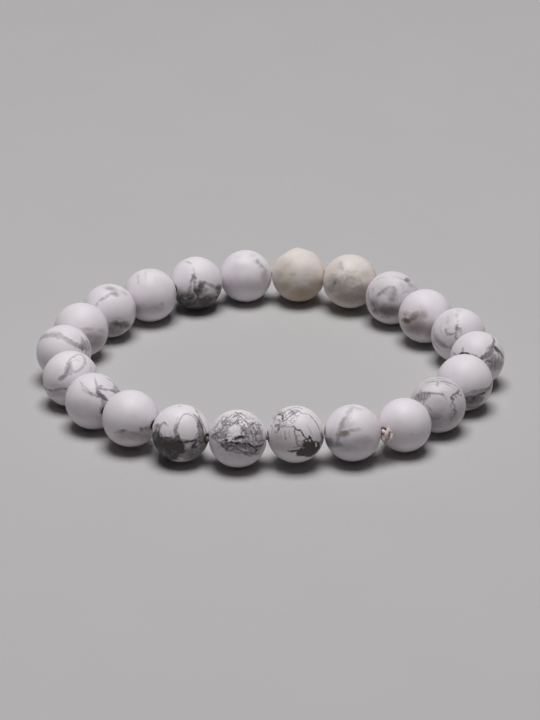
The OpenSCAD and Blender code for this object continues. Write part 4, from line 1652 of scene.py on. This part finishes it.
@dataclass
class Knot:
    """The cord's own overhand knot, drawn small, in the outer groove behind the tenth bead.

    ring, weave and rise shape its path, in shares of the strand's thickness: the ring that the strand winds
    round, its weave in and out of that ring, and its rise to each side. twists is how many filaments' places
    the bundle turns by along the strand, and lumps how often it swells. The cut ends' corners are in the
    knot's own frame, in millimetres: towards the cord, up, along.
    """

    strand: Strand
    finish: CoveredElastic = CoveredElastic()
    after: int = 10
    thread: float = 0.48 * MM
    ring: float = 1.18
    weave: float = 0.56
    rise: float = 0.82
    roll: float = 8.0
    twists: int = 9
    groove: float = 0.10
    lumps: int = 11
    lump_share: float = 0.03
    uv_length: float = 16 * MM
    steps: int = 288
    sides: int = 44

    cut_ends: tuple[Rows, ...] = (
        ((0.1, 0.3, -0.15), (-0.35, 0.55, -0.2), (-0.62, 0.72, -0.42)),
        ((0.1, -0.3, 0.05), (-0.4, -0.7, 0.1), (-0.42, -1.15, 0.02)),
    )
    end_radius: float = 0.20 * MM
    end_groove: float = 0.12
    end_steps: int = 18
    # Turns of the filaments along a cut end, in radians, and where along it the worn tip begins and ends
    end_twist: float = 4.0
    tip_start: float = 0.72
    tip_length: float = 0.29

    # Loose fibres start this far from the knot's middle, scattered by so much, and reach so far
    fibres: int = 96
    fibre_root: float = 0.5 * MM
    fibre_scatter: float = 0.15 * MM
    fibre_reach_mm: Row = (0.25, 0.75)
    fibre_bend: float = 0.6
    fibre_radii_mm: Row = (0.024, 0.010)
    fibre_steps: int = 9
    fibre_sides: int = 4

    def __post_init__(self) -> None:
        """Finds the knot's middle and its directions: along the cord, out of the groove, and up it."""
        self.middle = node_vertices("knot").mean(0)
        bead, following = self.strand.beads[self.after - 1 : self.after + 1]
        self.along = unit(following.middle - bead.middle)
        level = unit(np.cross(UPWARDS, self.along))
        tilt = math.radians(self.roll)
        self.out = math.cos(tilt) * level + math.sin(tilt) * np.cross(self.along, level)
        self.up = np.cross(self.along, self.out)

    def placed(self, local: np.ndarray) -> np.ndarray:
        """Turns points of the knot's own frame (towards the cord, up, along) into directions of the model."""
        return -local[..., :1] * self.out + local[..., 1:2] * self.up + local[..., 2:3] * self.along

    def strands(self) -> Surface:
        """The drawn-up strand: twice round a ring, weaving three times in and out of it and side to side.

        Returns:
            The closed, grooved tube along that path. Its radius swells and shrinks a little.
        """
        turn = angles(self.steps)
        r = self.thread * (self.ring + self.weave * np.cos(3 * turn))
        rise = self.thread * self.rise * np.sin(3 * turn)
        curve = np.stack([r * np.cos(2 * turn), r * np.sin(2 * turn), rise], -1)
        core = self.thread * self.ring * np.stack([np.cos(2 * turn), np.sin(2 * turn), 0 * turn], -1)
        phase = self.finish.filaments * angles(self.sides)[None] + self.twists * turn[:, None]
        swell = 1 + self.lump_share * np.sin(self.lumps * turn)[:, None]
        radius = self.thread / 2 * swell * grooved(phase, self.groove)
        path = self.middle + self.placed(curve)
        return Surface.loop(path, self.placed(curve - core), radius, self.uv_length)

    def cut_end(self, corners: Rows) -> Surface:
        """One of the cord's two cut ends: a short bent stub, worn round at the tip.

        Args:
            corners: its start, bend and end.

        Returns:
            The stub, its radius falling at the tip like a quarter of a circle.
        """
        start, middle, end = (self.middle + MM * self.placed(np.array(corner)) for corner in corners)
        t = np.linspace(0, 1, self.end_steps)
        tip = np.sqrt(np.clip(1 - ((t - self.tip_start) / self.tip_length).clip(0) ** 2, 0.01, 1))
        phase = self.finish.filaments * angles(self.sides)[None] + self.end_twist * t[:, None]
        radius = self.end_radius * tip[:, None] * grooved(phase, self.end_groove)
        return Surface.thread(bent(start, middle, end, self.end_steps), self.along, radius)

    def fluff(self) -> list[Surface]:
        """The fine fibres that have worked loose. They lie in the groove, clear of the beads.

        Returns:
            The fibres, each bent from where it starts to where it ends.
        """
        chance = np.random.default_rng(4)
        fibres = []
        for _ in range(self.fibres):
            # Least and most along the cord, up it and out of the groove
            aside, lift, out = chance.uniform((-0.3, -1, 0.1), (0.3, 1, 1))
            away = unit(self.placed(np.array([-out, lift, aside])))
            scatter = self.fibre_scatter * self.placed(chance.normal(size=3))
            start = self.middle + self.fibre_root * away + scatter
            reach = MM * chance.uniform(*self.fibre_reach_mm)
            turn = self.placed(chance.normal(size=3) * (0.7, 0.7, 0.3))
            middle, end = start + self.fibre_bend * reach * away, start + reach * unit(away + turn)
            path = bent(start, middle, end, self.fibre_steps)
            lean = unit(np.cross(away, turn))
            fibres.append(Surface.fibre(path, lean, self.fibre_radii_mm, self.fibre_sides))
        return fibres

    def build(self) -> None:
        """Makes the knot and dresses it."""
        ends = [self.cut_end(corners) for corners in self.cut_ends]
        piece = Surface.joined([self.strands(), *ends, *self.fluff()]).piece("knot_strands")
        piece.data.materials.append(self.finish.material("Covered bead elastic, knot"))
        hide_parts("knot")
        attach(piece, ROOT_BODY)
        log.info("knot at %s mm", np.round(self.middle / MM, 2))


# The whole scene


def main() -> None:
    """Builds camera, table, light, beads, cord and knot in order, and logs the beads' radii, the cord's
    length and the knot's place.
    """
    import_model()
    view = Viewpoint()
    view.build()
    Studio().build()
    strand = Strand(view)
    strand.build()
    ElasticCord(strand).build()
    Knot(strand).build()


if __name__ == "__main__":
    logging.basicConfig(level=logging.INFO)
    main()
